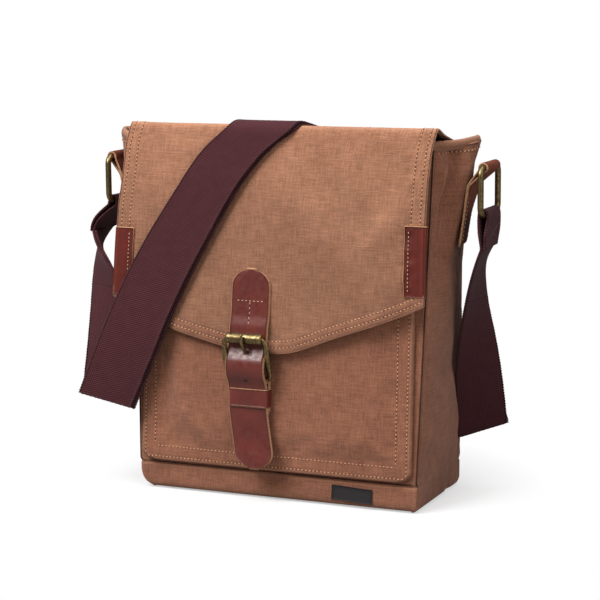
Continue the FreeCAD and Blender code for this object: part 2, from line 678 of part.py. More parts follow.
def main():
    nodes = {
        "base_panel": base_panel(),
        "base_board": base_board(),
        "front_panel": body_panel(FRONT),
        "back_panel": body_panel(BACK),
        "gusset_left": gusset(-1),
        "gusset_right": gusset(1),
        "mouth_binding": mouth_binding(),
        "lining": lining(),
        "front_pocket": front_pocket(),
        "side_label": side_label(),
        "flap_crown_canvas": crown_layer(-FLAP_CANVAS, 0, 0),
        "flap_crown_lining": crown_layer(-FLAP_CANVAS - 0.2 - FLAP_LINING,
                                         -FLAP_CANVAS - 0.2, 2.0),
        "flap_front_canvas": flap_front_layer(-FLAP_CANVAS, 0, 0),
        "flap_front_lining": flap_front_layer(-FLAP_CANVAS - 0.2 - FLAP_LINING,
                                              -FLAP_CANVAS - 0.2, 3.0),
        "flap_edge_welt": flap_edge_welt(),
        "corner_tab_left": corner_tab(-1),
        "corner_tab_right": corner_tab(1),
        "closure_strap": closure_strap(),
        "buckle_frame": buckle_frame(),
        "buckle_roller": buckle_roller(),
        "buckle_tongue": buckle_tongue(),
        "buckle_chape": buckle_chape(),
        "strap_keeper": strap_keeper(),
        "ring_tab_left": ring_tab(-1),
        "ring_tab_right": ring_tab(1),
        "ring_left": strap_ring(-1),
        "ring_right": strap_ring(1),
        "strap_left_loop": ring_loop(-1, 4.0, LEFT_LEAN),
        "strap_right_loop": ring_loop(1, 0.4, 0.0),
        "strap_left_run": twisted_run(-1, DOUBLE_WEB, LEFT_RUN),
        "strap_right_run": twisted_run(1, WEB_THICKNESS, RIGHT_RUN),
        "strap_front_run": FLAP.plate(FLAP_RUN_LEFT + FLAP_RUN_RIGHT, FLAP_RUN_OUT,
                                      FLAP_RUN_OUT + DOUBLE_WEB),
        "strap_crown_run": CROWN.plate(CROWN_RUN, 0.3, 0.3 + DOUBLE_WEB),
        "strap_back_run": strap_back_run(),
        "strap_back_inner": strap_back_inner(),
        "strap_slider": strap_slider(),
        "strap_end_loop": strap_end_loop(),
    }
    os.makedirs(OUT_DIR, exist_ok=True)
    for name, shape in nodes.items():
        if shape.ShapeType == "Compound" and len(shape.Solids) == 1:
            shape = shape.Solids[0]
        print(name, shape.ShapeType, "solids", len(shape.Solids), "valid", shape.isValid())
        shape.exportStep(os.path.join(OUT_DIR, name + ".step"))


main()
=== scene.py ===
import itertools
import math

import bpy
import numpy as np
from mathutils import Matrix, Vector


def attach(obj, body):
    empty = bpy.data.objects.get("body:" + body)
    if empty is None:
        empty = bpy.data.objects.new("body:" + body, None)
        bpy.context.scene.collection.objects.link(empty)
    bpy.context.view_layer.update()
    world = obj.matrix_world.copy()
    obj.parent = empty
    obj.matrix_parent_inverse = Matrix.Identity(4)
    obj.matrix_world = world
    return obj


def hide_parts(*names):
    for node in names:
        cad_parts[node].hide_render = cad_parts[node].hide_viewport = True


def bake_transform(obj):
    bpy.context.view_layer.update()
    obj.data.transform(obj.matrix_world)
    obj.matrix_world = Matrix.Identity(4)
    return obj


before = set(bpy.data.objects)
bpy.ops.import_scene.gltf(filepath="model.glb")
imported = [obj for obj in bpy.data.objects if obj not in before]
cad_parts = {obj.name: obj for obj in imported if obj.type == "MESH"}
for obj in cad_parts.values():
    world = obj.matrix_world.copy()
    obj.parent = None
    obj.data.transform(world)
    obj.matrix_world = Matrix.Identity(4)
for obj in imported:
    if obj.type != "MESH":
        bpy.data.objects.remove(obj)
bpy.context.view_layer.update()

# Canvas messenger bag: the visible surfaces around the fixed CAD frame.
# Lengths below are millimetres; meshes are scaled to metres when they are built.
MM = 0.001

# Driving dimensions. Those that the CAD model has under the same name have its value, except that
# MOUTH_DROP is 0.5 mm more here.
BODY_HEIGHT = 268.0
PANEL_TOP = 262.6
MOUTH_DROP = 8.5
BASE_STRIP = 20.0
SEAM = 2.2
CORNER_ROUND = 15.0
SEAM_LINE_INSET = 0.7
RIGHT_CORNER_ROUND = 4.0
GUSSET_BELLY = 8.0
EAR_FLARE = 21.0
POCKET_HALF = 109.0
POCKET_BOTTOM = 22.0
POCKET_TOP = 168.0
POCKET_OUT = 8.1
CLOSURE_X = -15.5
CLOSURE_WIDTH = 29.0
# Bars of the buckle frame, as (height, distance out from the front panel).
HEEL_BAR = (91.0, 12.0)
ROLLER_BAR = (122.3, 22.7)
RING_X = 150.0
RING_TOP = 249.0
RING_LOW = 215.4
RING_WIRE = 2.2
WEB = 38.0
WEB_THICK = 1.8
STITCH_PITCH = 3.0


# --- small numeric helpers --------------------------------------------------------------------

def unit(vectors):
    return vectors / np.maximum(np.linalg.norm(vectors, axis=-1, keepdims=True), 1e-9)


def ramp(low, high, value):
    """Smooth step from 0 at low to 1 at high."""
    share = np.clip((np.asarray(value, float) - low) / (high - low), 0.0, 1.0)
    return share * share * (3 - 2 * share)


def bump(centre, width, value):
    return np.exp(-((np.asarray(value, float) - centre) / width) ** 2)


def noise(points, size, seed):
    """Smooth seeded noise between -1 and 1 with features of about the given size."""
    cells = np.asarray(points, float) / size
    whole = np.floor(cells).astype(np.int64)
    part = cells - whole
    part = part * part * (3 - 2 * part)
    total = np.zeros(cells.shape[:-1])
    for corner in itertools.product((0, 1), repeat=3):
        key = whole + np.array(corner)
        mixed = key[..., 0] * 73856093 ^ key[..., 1] * 19349663 ^ key[..., 2] * 83492791
        mixed = (mixed ^ (seed * 2654435)) & 0x7FFFFFFF
        mixed = (mixed * 1103515245 + 12345) & 0x7FFFFFFF
        mixed = ((mixed >> 7) * 69069 + 1) & 0xFFFFFF
        weight = np.ones(cells.shape[:-1])
        for axis in range(3):
            share = part[..., axis]
            weight = weight * (share if corner[axis] else 1 - share)
        total += weight * (mixed / float(0xFFFFFF) * 2 - 1)
    return total


def smooth_path(points, step=0.6, blur=2.0):
    """Polyline resampled at an even step and rounded at its corners."""
    points = np.asarray(points, float)
    lengths = np.concatenate([[0], np.cumsum(np.linalg.norm(np.diff(points[:, :3], axis=0),
                                                            axis=1))])
    count = max(int(lengths[-1] / step), 4)
    places = np.linspace(0, lengths[-1], count + 1)
    even = np.stack([np.interp(places, lengths, column) for column in points.T], axis=1)
    reach = max(int(3 * blur / step), 1)
    kernel = np.exp(-0.5 * (np.arange(-reach, reach + 1) * step / blur) ** 2)
    kernel /= kernel.sum()
    before = 2 * even[0] - even[1:reach + 1][::-1] if len(even) > reach else None
    after = 2 * even[-1] - even[-reach - 1:-1][::-1] if len(even) > reach else None
    if before is None:
        return even
    padded = np.vstack([before, even, after])
    return np.stack([np.convolve(column, kernel, "valid") for column in padded.T], axis=1)


def path_lengths(points):
    return np.concatenate([[0], np.cumsum(np.linalg.norm(np.diff(points, axis=0), axis=1))])


# --- mesh building ----------------------------------------------------------------------------

class Shape:
    """Collects points, texture positions in millimetres and faces, then makes one object."""

    def __init__(self):
        self.points = []
        self.places = []
        self.faces = []
        self.slots = []
        self.sharp = set()
        self.count = 0

    def add(self, points, places, faces, slot=0):
        points = np.asarray(points, float).reshape(-1, 3)
        places = np.asarray(places, float).reshape(-1, 2)
        start = self.count
        self.points.append(points)
        self.places.append(places)
        for face in np.asarray(faces).tolist():
            self.faces.append([index + start for index in face])
            self.slots.append(slot)
        self.count += len(points)
        return start

    def build(self, name, materials, body=None, node=None, slot=None):
        mesh = bpy.data.meshes.new(name)
        points = np.vstack(self.points) * MM
        mesh.from_pydata(points.tolist(), [], self.faces)
        mesh.update()
        corners = np.zeros(len(mesh.loops), np.int64)
        mesh.loops.foreach_get("vertex_index", corners)
        layer = mesh.uv_layers.new(name="Cloth")
        layer.data.foreach_set("uv", np.vstack(self.places)[corners].astype(np.float32).ravel())
        mesh.polygons.foreach_set("use_smooth", [True] * len(mesh.polygons))
        for material in materials:
            mesh.materials.append(material)
        mesh.polygons.foreach_set("material_index", self.slots)
        if self.sharp:
            ends = np.zeros(len(mesh.edges) * 2, np.int64)
            mesh.edges.foreach_get("vertices", ends)
            marked = np.isin(ends.reshape(-1, 2), list(self.sharp)).all(axis=1)
            layer = mesh.attributes.new("sharp_edge", "BOOLEAN", "EDGE")
            layer.data.foreach_set("value", marked)
        thing = bpy.data.objects.new(name, mesh)
        bpy.context.scene.collection.objects.link(thing)
        if node:
            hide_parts(*([node] if isinstance(node, str) else node))
        if body:
            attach(thing, body)
        return thing


def grid_faces(rows, columns, wrap_rows=False, wrap_columns=False):
    index = np.arange(rows * columns).reshape(rows, columns)
    if wrap_rows:
        index = np.vstack([index, index[:1]])
    if wrap_columns:
        index = np.hstack([index, index[:, :1]])
    return np.stack([index[:-1, :-1], index[1:, :-1], index[1:, 1:], index[:-1, 1:]],
                    axis=-1).reshape(-1, 4)


def grid_normals(grid):
    return unit(np.cross(np.gradient(grid, axis=0), np.gradient(grid, axis=1)))


def slab(shape, grid, places, thickness, edge_slot=0, inner_slot=0, cuts=()):
    """Adds a closed sheet with rounded edges. grid is the outer face; sides named in cuts
    (row_start, row_end, column_start, column_end) are left square for a neighbour to meet."""
    rows, columns = grid.shape[:2]
    normals = grid_normals(grid)
    inner = grid - normals * thickness
    index = np.arange(rows * columns).reshape(rows, columns)
    loop = np.concatenate([index[:, 0], index[-1, 1:], index[-2::-1, -1], index[0, -2:0:-1]])
    outward = np.zeros((rows, columns, 3))
    edges = {"row_start": (index[0], grid[0] - grid[1]),
             "row_end": (index[-1], grid[-1] - grid[-2]),
             "column_start": (index[:, 0], grid[:, 0] - grid[:, 1]),
             "column_end": (index[:, -1], grid[:, -1] - grid[:, -2])}
    flat_outward = outward.reshape(-1, 3)
    square = set()
    for name, (where, direction) in edges.items():
        if name in cuts:
            square.update(where.tolist())
        else:
            flat_outward[where] += unit(direction)
    flat_outward = unit(flat_outward)
    outer_flat, inner_flat = grid.reshape(-1, 3), inner.reshape(-1, 3)
    place_flat = places.reshape(-1, 2)
    faces = grid_faces(rows, columns)
    start = shape.add(outer_flat, place_flat, faces)
    back = shape.add(inner_flat, place_flat, faces[:, ::-1], inner_slot)
    middle = (outer_flat + inner_flat)[loop] / 2
    half = thickness / 2
    keep = np.array([0.0 if i in square else 1.0 for i in loop])[:, None]
    rings = [loop + start]
    for turn in (45, 90, 135):
        angle = math.radians(turn)
        ring = (middle + normals.reshape(-1, 3)[loop] * math.cos(angle) * half
                + flat_outward[loop] * math.sin(angle) * half * keep)
        first = shape.add(ring, place_flat[loop], np.zeros((0, 4), int))
        rings.append(np.arange(len(loop)) + first)
    rings.append(loop + back)
    for near, far in zip(rings, rings[1:]):
        for i in range(len(loop)):
            j = (i + 1) % len(loop)
            shape.faces.append([near[i], near[j], far[j], far[i]])
            shape.slots.append(edge_slot)
    shape.sharp.update(start + i for i in square)
    shape.sharp.update(back + i for i in square)
    return start


def tube(shape, path, radius, sides=12, closed=False, slot=0, flatten=1.0, guide=(1, 0, 0)):
    """Sweeps a round or flattened section along a path."""
    path = np.asarray(path, float)
    if closed:
        ahead = unit(np.roll(path, -1, axis=0) - np.roll(path, 1, axis=0))
    else:
        ahead = unit(np.gradient(path, axis=0))
    guide = np.broadcast_to(np.asarray(guide, float), path.shape)
    side = unit(np.cross(ahead, guide))
    up = np.cross(side, ahead)
    radius = np.broadcast_to(np.asarray(radius, float), (len(path),))[:, None, None]
    turns = np.linspace(0, 2 * math.pi, sides, endpoint=False)
    ring = (side[:, None] * np.cos(turns)[None, :, None]
            + up[:, None] * np.sin(turns)[None, :, None] * flatten)
    points = path[:, None] + ring * radius
    lengths = path_lengths(path)
    places = np.stack(np.broadcast_arrays(turns[None, :] * 3, lengths[:, None]), axis=-1)
    start = shape.add(points, places, grid_faces(len(path), sides, closed, True), slot)
    if not closed:
        last = start + (len(path) - 1) * sides
        shape.faces.append([start + i for i in range(sides)])
        shape.faces.append([last + i for i in range(sides)][::-1])
        shape.slots.extend([slot, slot])


def stitches(shape, path, normals, pitch=STITCH_PITCH, length=2.1, radius=0.46, slot=0,
             hole_slot=1):
    """A row of raised stitches along a path on a surface, with needle holes between them as small
    marks; given the dark hole colour, they are painted shade.
    """
    path = np.asarray(path, float)
    lengths = path_lengths(path)
    count = int(lengths[-1] / pitch)
    if count < 1:
        return
    centres = (np.arange(count) + 0.5) * lengths[-1] / count

    def at(place, table):
        return np.stack([np.interp(place, lengths, column) for column in table.T], axis=-1)

    middle = at(centres, path)
    ahead = unit(at(centres + length / 2, path) - at(centres - length / 2, path) + 1e-9)
    up = unit(at(centres, np.asarray(normals, float)))
    side = unit(np.cross(up, ahead))
    sides, rings = 6, 5
    along = np.linspace(-0.5, 0.5, rings)
    girth = np.array([0.25, 0.85, 1.0, 0.85, 0.25])
    turns = np.linspace(0, 2 * math.pi, sides, endpoint=False)
    for number in range(count):
        lift = radius * 0.45 - radius * 1.5 * (2 * along) ** 4
        ring = (middle[number] + ahead[number] * (along * length)[:, None]
                + up[number] * lift[:, None])
        round_part = (side[number] * np.cos(turns)[:, None] + up[number]
                      * np.sin(turns)[:, None])
        points = ring[:, None] + round_part[None] * (girth * radius)[:, None, None]
        faces = grid_faces(rings, sides, False, True)
        start = shape.add(points, np.zeros((rings * sides, 2)) + centres[number], faces, slot)
        shape.faces.append([start + i for i in range(sides)])
        shape.faces.append([start + (rings - 1) * sides + i for i in range(sides)][::-1])
        shape.slots.extend([slot, slot])
    gaps = at(centres[:-1] + (centres[1] - centres[0]) / 2 if count > 1 else centres, path)
    ups = unit(at(centres[:-1] + pitch / 2 if count > 1 else centres,
                  np.asarray(normals, float)))
    sides_at = side[:len(gaps)]
    aheads = np.cross(sides_at, ups)
    # Needle holes: small cones on the surface, not recesses; in the dark hole colour they are
    # painted shade.
    for point, lift, wide, long in zip(gaps, ups, sides_at, aheads):
        rim = [point + lift * 0.02 + (wide * math.cos(t) * 0.5 + long * math.sin(t) * 0.62)
               for t in turns]
        start = shape.add(np.array(rim + [point + lift * 0.16]), np.zeros((7, 2)),
                          np.zeros((0, 3), int), hole_slot)
        for i in range(6):
            shape.faces.append([start + i, start + (i + 1) % 6, start + 6])
            shape.slots.append(hole_slot)
        shape.faces.append([start + i for i in range(6)][::-1])
        shape.slots.append(hole_slot)


def stitch_on(shape, surface, first, second, lift=0.0, **options):
    """Stitches along a line of surface coordinates."""
    first, second = np.broadcast_arrays(np.asarray(first, float), np.asarray(second, float))
    points = surface(first, second)
    step = 0.4
    across = surface(first + step, second) - surface(first - step, second)
    along = surface(first, second + step) - surface(first, second - step)
    normals = unit(np.cross(across, along))
    stitches(shape, points + normals * lift, normals, **options)


class Sheet:
    """A flat surface parallel to X through two (y, z) points, with an outward side."""

    def __init__(self, start, end, facing=1.0):
        self.origin = np.array([0, start[0], start[1]])
        self.up = unit(np.array([0, end[0], end[1]]) - self.origin)
        self.normal = np.cross([1, 0, 0], self.up) * facing
        self.length = np.linalg.norm(np.array([0, end[0], end[1]]) - self.origin)

    def at(self, x, rise, out):
        x, rise, out = np.broadcast_arrays(*(np.asarray(v, float) for v in (x, rise, out)))
        return (self.origin + x[..., None] * np.array([1.0, 0, 0])
                + rise[..., None] * self.up + out[..., None] * self.normal)


FRONT = Sheet((-50.0, 0), (-33.0, BODY_HEIGHT))
BACK = Sheet((50.0, 0), (33.0, BODY_HEIGHT), -1.0)


# --- materials --------------------------------------------------------------------------------

class Material:
    """A node material built from short calls; texture positions are in millimetres."""

    def __init__(self, name, roughness=0.8, metallic=0.0):
        self.data = bpy.data.materials.new(name)
        self.data.use_nodes = True
        self.tree = self.data.node_tree
        self.shader = self.tree.nodes["Principled BSDF"]
        self.shader.inputs["Roughness"].default_value = roughness
        self.shader.inputs["Metallic"].default_value = metallic

    def node(self, kind, inputs=(), **settings):
        made = self.tree.nodes.new(kind)
        for key, value in settings.items():
            setattr(made, key, value)
        for key, value in dict(inputs).items():
            self.feed(made.inputs[key], value)
        return made

    def feed(self, socket, value):
        if isinstance(value, bpy.types.NodeSocket):
            self.tree.links.new(value, socket)
        else:
            socket.default_value = value

    def place(self, cad=False):
        """Texture position: the cloth layer, or the object position for a CAD piece."""
        if not cad:
            return self.node("ShaderNodeUVMap", uv_map="Cloth").outputs[0]
        source = self.node("ShaderNodeTexCoord").outputs["Object"]
        return self.node("ShaderNodeVectorMath", {0: source, 1: (1000, 1000, 1000)},
                         operation="MULTIPLY").outputs[0]

    def stretch(self, place, scale):
        return self.node("ShaderNodeVectorMath", {0: place, 1: scale},
                         operation="MULTIPLY").outputs[0]

    def speckle(self, place, scale, detail=3.0, rough=0.55):
        return self.node("ShaderNodeTexNoise", {"Vector": place, "Scale": scale,
                                                "Detail": detail, "Roughness": rough}).outputs[0]

    def maths(self, operation, first, second=0.0, clamp=False):
        return self.node("ShaderNodeMath", {0: first, 1: second}, operation=operation,
                         use_clamp=clamp).outputs[0]

    def fit(self, value, low, high, to_low=0.0, to_high=1.0):
        return self.node("ShaderNodeMapRange", {"Value": value, "From Min": low,
                                                "From Max": high, "To Min": to_low,
                                                "To Max": to_high}).outputs[0]

    def mix(self, share, first, second, blend="MIX"):
        made = self.node("ShaderNodeMix", data_type="RGBA", blend_type=blend)
        self.feed(made.inputs[0], share)
        self.feed(made.inputs[6], first)
        self.feed(made.inputs[7], second)
        return made.outputs[2]

    def bump(self, height, distance, strength=1.0, below=None):
        made = self.node("ShaderNodeBump", {"Height": height, "Distance": distance * MM,
                                            "Strength": strength})
        if below is not None:
            self.feed(made.inputs["Normal"], below)
        return made.outputs[0]

    def worn(self, low=0.51, high=0.56):
        """1 on sharp outer edges, 0 on flat parts."""
        pointy = self.node("ShaderNodeNewGeometry").outputs["Pointiness"]
        return self.fit(pointy, low, high)

    def finish(self, color, normal=None, roughness=None):
        self.feed(self.shader.inputs["Base Color"], color)
        if normal is not None:
            self.feed(self.shader.inputs["Normal"], normal)
        if roughness is not None:
            self.feed(self.shader.inputs["Roughness"], roughness)
        return self.data


def srgb(red, green, blue):
    def linear(value):
        value /= 255.0
        return value / 12.92 if value <= 0.04045 else ((value + 0.055) / 1.055) ** 2.4
    return (linear(red), linear(green), linear(blue), 1.0)


def weave_height(material, place, pitch):
    """Height of a plain weave: threads over and under each other."""
    split = material.node("ShaderNodeSeparateXYZ", {0: place})
    waves = []
    for axis in (0, 1):
        turned = material.maths("MULTIPLY", split.outputs[axis], math.pi / pitch)
        waves.append(material.maths("ABSOLUTE", material.maths("SINE", turned)))
    cells = material.node("ShaderNodeTexChecker", {"Vector": place, "Scale": 1.0 / pitch})
    return material.node("ShaderNodeMix", {0: cells.outputs[1], 2: waves[0], 3: waves[1]},
                         data_type="FLOAT").outputs[0]


def canvas_material(name, light, dark, pitch=1.0, contrast=1.0, painted_shade_span=None):
    """Washed cotton canvas: cloudy fading, slubby threads, plain weave, pale worn edges.
    The last argument gives two places along the cloth: painted shade makes the colour darkest at
    the first and leaves it as it is at the second."""
    material = Material(name, 0.92)
    place = material.place()
    clouds = material.speckle(place, 0.016, 5.0, 0.55)
    fading = material.speckle(place, 0.11, 5.0, 0.65)
    tone = material.maths("ADD", material.maths("MULTIPLY", clouds, 0.6),
                          material.maths("MULTIPLY", fading, 0.4))
    color = material.mix(material.fit(tone, 0.34, 0.66), dark, light)
    warp = material.speckle(material.stretch(place, (1.0, 0.08, 1.0)), 1.0, 2.0)
    weft = material.speckle(material.stretch(place, (0.08, 1.0, 1.0)), 1.0, 2.0)
    threads = material.maths("ADD", warp, weft)
    shade = material.fit(threads, 0.8, 1.2, 1 - 0.13 * contrast, 1 + 0.13 * contrast)
    shade = material.node("ShaderNodeCombineColor", {0: shade, 1: shade, 2: shade}).outputs[0]
    color = material.mix(1.0, color, shade, "MULTIPLY")
    # Painted shade: the colour is darker towards the first of the two places along the cloth.
    if painted_shade_span:
        along = material.node("ShaderNodeSeparateXYZ", {0: place}).outputs[1]
        level = material.fit(along, painted_shade_span[0], painted_shade_span[1], 0.68, 1.0)
        level = material.node("ShaderNodeCombineColor", {0: level, 1: level, 2: level}).outputs[0]
        color = material.mix(1.0, color, level, "MULTIPLY")
    grains = material.speckle(place, 1.4, 2.0)
    color = material.mix(material.fit(grains, 0.58, 0.72, 0.0, 0.4), color, srgb(208, 166, 136))
    pits = material.speckle(place, 0.9, 2.0)
    color = material.mix(material.fit(pits, 0.58, 0.74, 0.0, 0.4), color, srgb(104, 66, 50))
    color = material.mix(material.fit(material.worn(), 0, 1, 0.0, 0.45), color,
                         srgb(190, 145, 115))
    height = weave_height(material, place, pitch)
    normal = material.bump(threads, 0.35, 0.6)
    normal = material.bump(height, 0.16, 0.7, normal)
    material.shader.inputs["Sheen Weight"].default_value = 0.12
    material.shader.inputs["Sheen Roughness"].default_value = 0.6
    material.shader.inputs["Specular IOR Level"].default_value = 0.15
    return material.finish(color, normal)


def lining_material():
    material = Material("lining_fabric", 0.85)
    place = material.place()
    height = weave_height(material, place, 0.7)
    cloud = material.speckle(place, 0.05, 4.0)
    color = material.mix(material.fit(cloud, 0.35, 0.65), srgb(62, 50, 42), srgb(88, 72, 60))
    material.shader.inputs["Specular IOR Level"].default_value = 0.2
    return material.finish(color, material.bump(height, 0.1, 0.6))


def webbing_material(name="webbing"):
    """Heavy cotton webbing with fine slanting ribs; the second coordinate runs along it."""
    material = Material(name, 0.8)
    place = material.place()
    split = material.node("ShaderNodeSeparateXYZ", {0: place})
    across, along = split.outputs[0], split.outputs[1]
    slant = material.maths("ADD", along, material.maths("MULTIPLY", across, 0.55))
    ribs = material.maths("SINE", material.maths("MULTIPLY", slant, 2 * math.pi / 1.9))
    dots = material.maths("SINE", material.maths("MULTIPLY", across, 2 * math.pi / 1.5))
    mixed = material.maths("ADD", material.maths("MULTIPLY", ribs, 0.6),
                           material.maths("MULTIPLY", dots, 0.4))
    lightness = material.fit(mixed, -1.0, 1.0)
    color = material.mix(lightness, srgb(40, 17, 23), srgb(94, 50, 54))
    cloud = material.speckle(place, 0.12, 4.0)
    color = material.mix(material.fit(cloud, 0.4, 0.7, 0.0, 0.35), color, srgb(58, 27, 32))
    fuzz = material.speckle(place, 1.8, 2.0)
    color = material.mix(material.fit(fuzz, 0.62, 0.74, 0.0, 0.25), color, srgb(122, 82, 84))
    material.shader.inputs["Sheen Weight"].default_value = 0.06
    material.shader.inputs["Specular IOR Level"].default_value = 0.1
    return material.finish(color, material.bump(lightness, 0.22, 0.8))


def leather_material(name, deep, light, roughness):
    """Waxed leather: pull-up clouds, pores, small creases and scuffed edges."""
    material = Material(name, roughness)
    place = material.place()
    clouds = material.speckle(place, 0.035, 3.0, 0.5)
    color = material.mix(material.fit(clouds, 0.30, 0.70), deep, light)
    pores = material.node("ShaderNodeTexVoronoi", {"Vector": place, "Scale": 1.3}).outputs[0]
    creases = material.node("ShaderNodeTexVoronoi", {"Vector": place, "Scale": 0.55},
                            feature="DISTANCE_TO_EDGE").outputs[0]
    color = material.mix(material.fit(material.worn(), 0, 1, 0, 0.4), color, srgb(160, 90, 62))
    normal = material.bump(pores, 0.03, 0.3)
    normal = material.bump(material.fit(creases, 0.0, 0.2), 0.02, 0.3, normal)
    scuffs = material.speckle(place, 0.25, 4.0)
    rough = material.fit(scuffs, 0.3, 0.7, roughness - 0.1, roughness + 0.18)
    return material.finish(color, normal, rough)


def brass_material(cad=False):
    """Antique brass: bright where it is rubbed, dark patina in the hollows."""
    material = Material("brass_cad" if cad else "brass", 0.32, 1.0)
    place = material.place(cad)
    patina = material.speckle(place, 0.35, 6.0, 0.65)
    rubbed = material.worn(0.49, 0.55)
    share = material.maths("ADD", material.fit(patina, 0.40, 0.62, 0.0, 0.75),
                           material.maths("MULTIPLY", rubbed, 0.35), True)
    color = material.mix(share, srgb(64, 52, 34), srgb(158, 138, 96))
    scratches = material.speckle(material.stretch(place, (1.0, 6.0, 1.0)), 0.8, 3.0)
    rough = material.fit(patina, 0.35, 0.65, 0.5, 0.32)
    return material.finish(color, material.bump(scratches, 0.05, 0.3), rough)


def simple_material(name, first, second, scale, roughness, bump_depth=0.1):
    material = Material(name, roughness)
    place = material.place()
    cloud = material.speckle(place, scale, 4.0)
    color = material.mix(material.fit(cloud, 0.35, 0.65), first, second)
    return material.finish(color, material.bump(cloud, bump_depth, 0.6))


# Flap canvas, with painted shade that darkens it down the front of the flap.
CANVAS = canvas_material("canvas", srgb(184, 129, 99), srgb(154, 104, 78), 1.0, 1.5,
                         (-175.0, -85.0))
# Welt canvas: a darker copy of the flap canvas, painted shade matching the flap's lower edge.
CANVAS_SHADED_WELT = canvas_material("canvas_welt_painted_shade", srgb(152, 104, 80), srgb(126, 82, 62), 1.0, 1.5)
# Body canvas: a darker copy of the flap canvas, painted shade for the lower and less lit body.
CANVAS_SHADED_BODY = canvas_material("canvas_body_painted_shade", srgb(154, 101, 77), srgb(130, 82, 61), 1.0, 1.5)
LINING = lining_material()
WEBBING = webbing_material()
LEATHER = leather_material("leather", srgb(84, 33, 29), srgb(112, 45, 35), 0.34)
LEATHER_MATT = leather_material("leather_ring_tab", srgb(98, 50, 40), srgb(134, 78, 60), 0.72)
LEATHER_MATT.node_tree.nodes["Principled BSDF"].inputs["Specular IOR Level"].default_value = 0.1
LEATHER_RED = leather_material("leather_tab", srgb(76, 20, 12), srgb(100, 30, 18), 0.5)
LEATHER_RED.node_tree.nodes["Principled BSDF"].inputs["Specular IOR Level"].default_value = 0.3
RAW_EDGE = simple_material("raw_leather_edge", srgb(150, 104, 74), srgb(186, 140, 104), 0.9, 0.8)
THREAD = simple_material("thread", srgb(184, 134, 98), srgb(212, 162, 122), 2.0, 0.7)
THREAD_PALE = simple_material("thread_pale", srgb(186, 148, 118), srgb(214, 180, 150), 2.0, 0.7)
# Dark colour for needle holes, the strap's holes, the roller's groove and the side seam lines:
# painted shade in these recesses.
HOLE_SHADE = simple_material("needle_hole_painted_shade", srgb(52, 30, 22), srgb(68, 40, 28), 1.0, 0.95)
BRASS = brass_material()
LABEL = simple_material("label_weave", srgb(26, 22, 24), srgb(44, 38, 40), 2.4, 0.8)


def board_material():
    material = Material("board_fibre", 0.85)
    place = material.place(True)
    cloud = material.speckle(place, 0.2, 4.0)
    color = material.mix(cloud, srgb(96, 78, 60), srgb(120, 100, 80))
    return material.finish(color, material.bump(cloud, 0.1, 0.5))


# --- settled cloth ----------------------------------------------------------------------------

def settled_cloth(width, height, held, grow, pressure, cap, seed, step=5.0):
    """Lets a slightly oversized sheet of cloth settle while parts of it are held, and gives a
    function (u, v) of how far it stands out in millimetres; u and v run from 0 to 1.

    held(u, v) is 1 where the cloth is sewn down and 0 where it is free."""
    columns, rows = int(width / step) + 1, int(height / step) + 1
    u, v = np.meshgrid(np.linspace(0, 1, columns), np.linspace(0, 1, rows), indexing="ij")
    flat = np.stack([u * width, v * height, 0 * u], -1).reshape(-1, 3)
    flat[:, 2] += 0.35 * noise(flat, 26.0, seed) * (1 - held(u, v).ravel())
    mesh = bpy.data.meshes.new("settling")
    mesh.from_pydata((flat * MM).tolist(), [], grid_faces(columns, rows).tolist())
    sheet = bpy.data.objects.new("settling", mesh)
    bpy.context.scene.collection.objects.link(sheet)
    group = sheet.vertex_groups.new(name="held")
    for index, weight in enumerate(held(u, v).ravel().tolist()):
        group.add([index], weight, "REPLACE")
    cloth = sheet.modifiers.new("cloth", "CLOTH")
    cloth.settings.quality = 6
    cloth.settings.mass = 0.25
    cloth.settings.tension_stiffness = 25.0
    cloth.settings.compression_stiffness = 25.0
    cloth.settings.shear_stiffness = 8.0
    cloth.settings.bending_stiffness = 1.2
    cloth.settings.vertex_group_mass = "held"
    cloth.settings.shrink_min = -grow
    cloth.settings.use_pressure = True
    cloth.settings.uniform_pressure_force = pressure
    cloth.settings.effector_weights.gravity = 0.0
    cloth.point_cache.frame_end = 20
    scene = bpy.context.scene
    for number in range(1, 21):
        scene.frame_set(number)
    evaluated = sheet.evaluated_get(bpy.context.evaluated_depsgraph_get())
    moved = np.zeros(len(flat) * 3)
    evaluated.data.vertices.foreach_get("co", moved)
    stand = moved.reshape(-1, 3)[:, 2].reshape(columns, rows) / MM
    bpy.data.objects.remove(sheet)
    bpy.data.meshes.remove(mesh)
    scene.frame_set(1)
    stand = cap * np.tanh(stand / cap)

    def field(u, v):
        u, v = np.broadcast_arrays(np.asarray(u, float), np.asarray(v, float))
        a = np.clip(u, 0, 1) * (columns - 1)
        b = np.clip(v, 0, 1) * (rows - 1)
        i = np.clip(a.astype(int), 0, columns - 2)
        j = np.clip(b.astype(int), 0, rows - 2)
        a, b = a - i, b - j
        a, b = a * a * (3 - 2 * a), b * b * (3 - 2 * b)
        return ((stand[i, j] * (1 - a) + stand[i + 1, j] * a) * (1 - b)
                + (stand[i, j + 1] * (1 - a) + stand[i + 1, j + 1] * a) * b)

    return field


def held_all_round(u, v):
    near = np.minimum(np.minimum(u, 1 - u), np.minimum(v, 1 - v))
    return 1.0 - ramp(0.01, 0.06, near)


def held_pocket(u, v):
    """Sewn at the sides and the bottom, open at the top."""
    near = np.minimum(np.minimum(u, 1 - u), v)
    return 1.0 - ramp(0.01, 0.06, near)


def held_flap(u, v):
    """Held at the fold, stiff at the side hems, buckled down at the middle of the lower edge."""
    near = np.minimum(u, 1 - u)
    sides = 0.6 * (1.0 - ramp(0.02, 0.08, near))
    buckled = bump(0.47, 0.09, u) * bump(1.0, 0.12, v)
    return np.clip(np.maximum(np.maximum(1.0 - ramp(0.0, 0.05, v), sides), buckled), 0, 1)


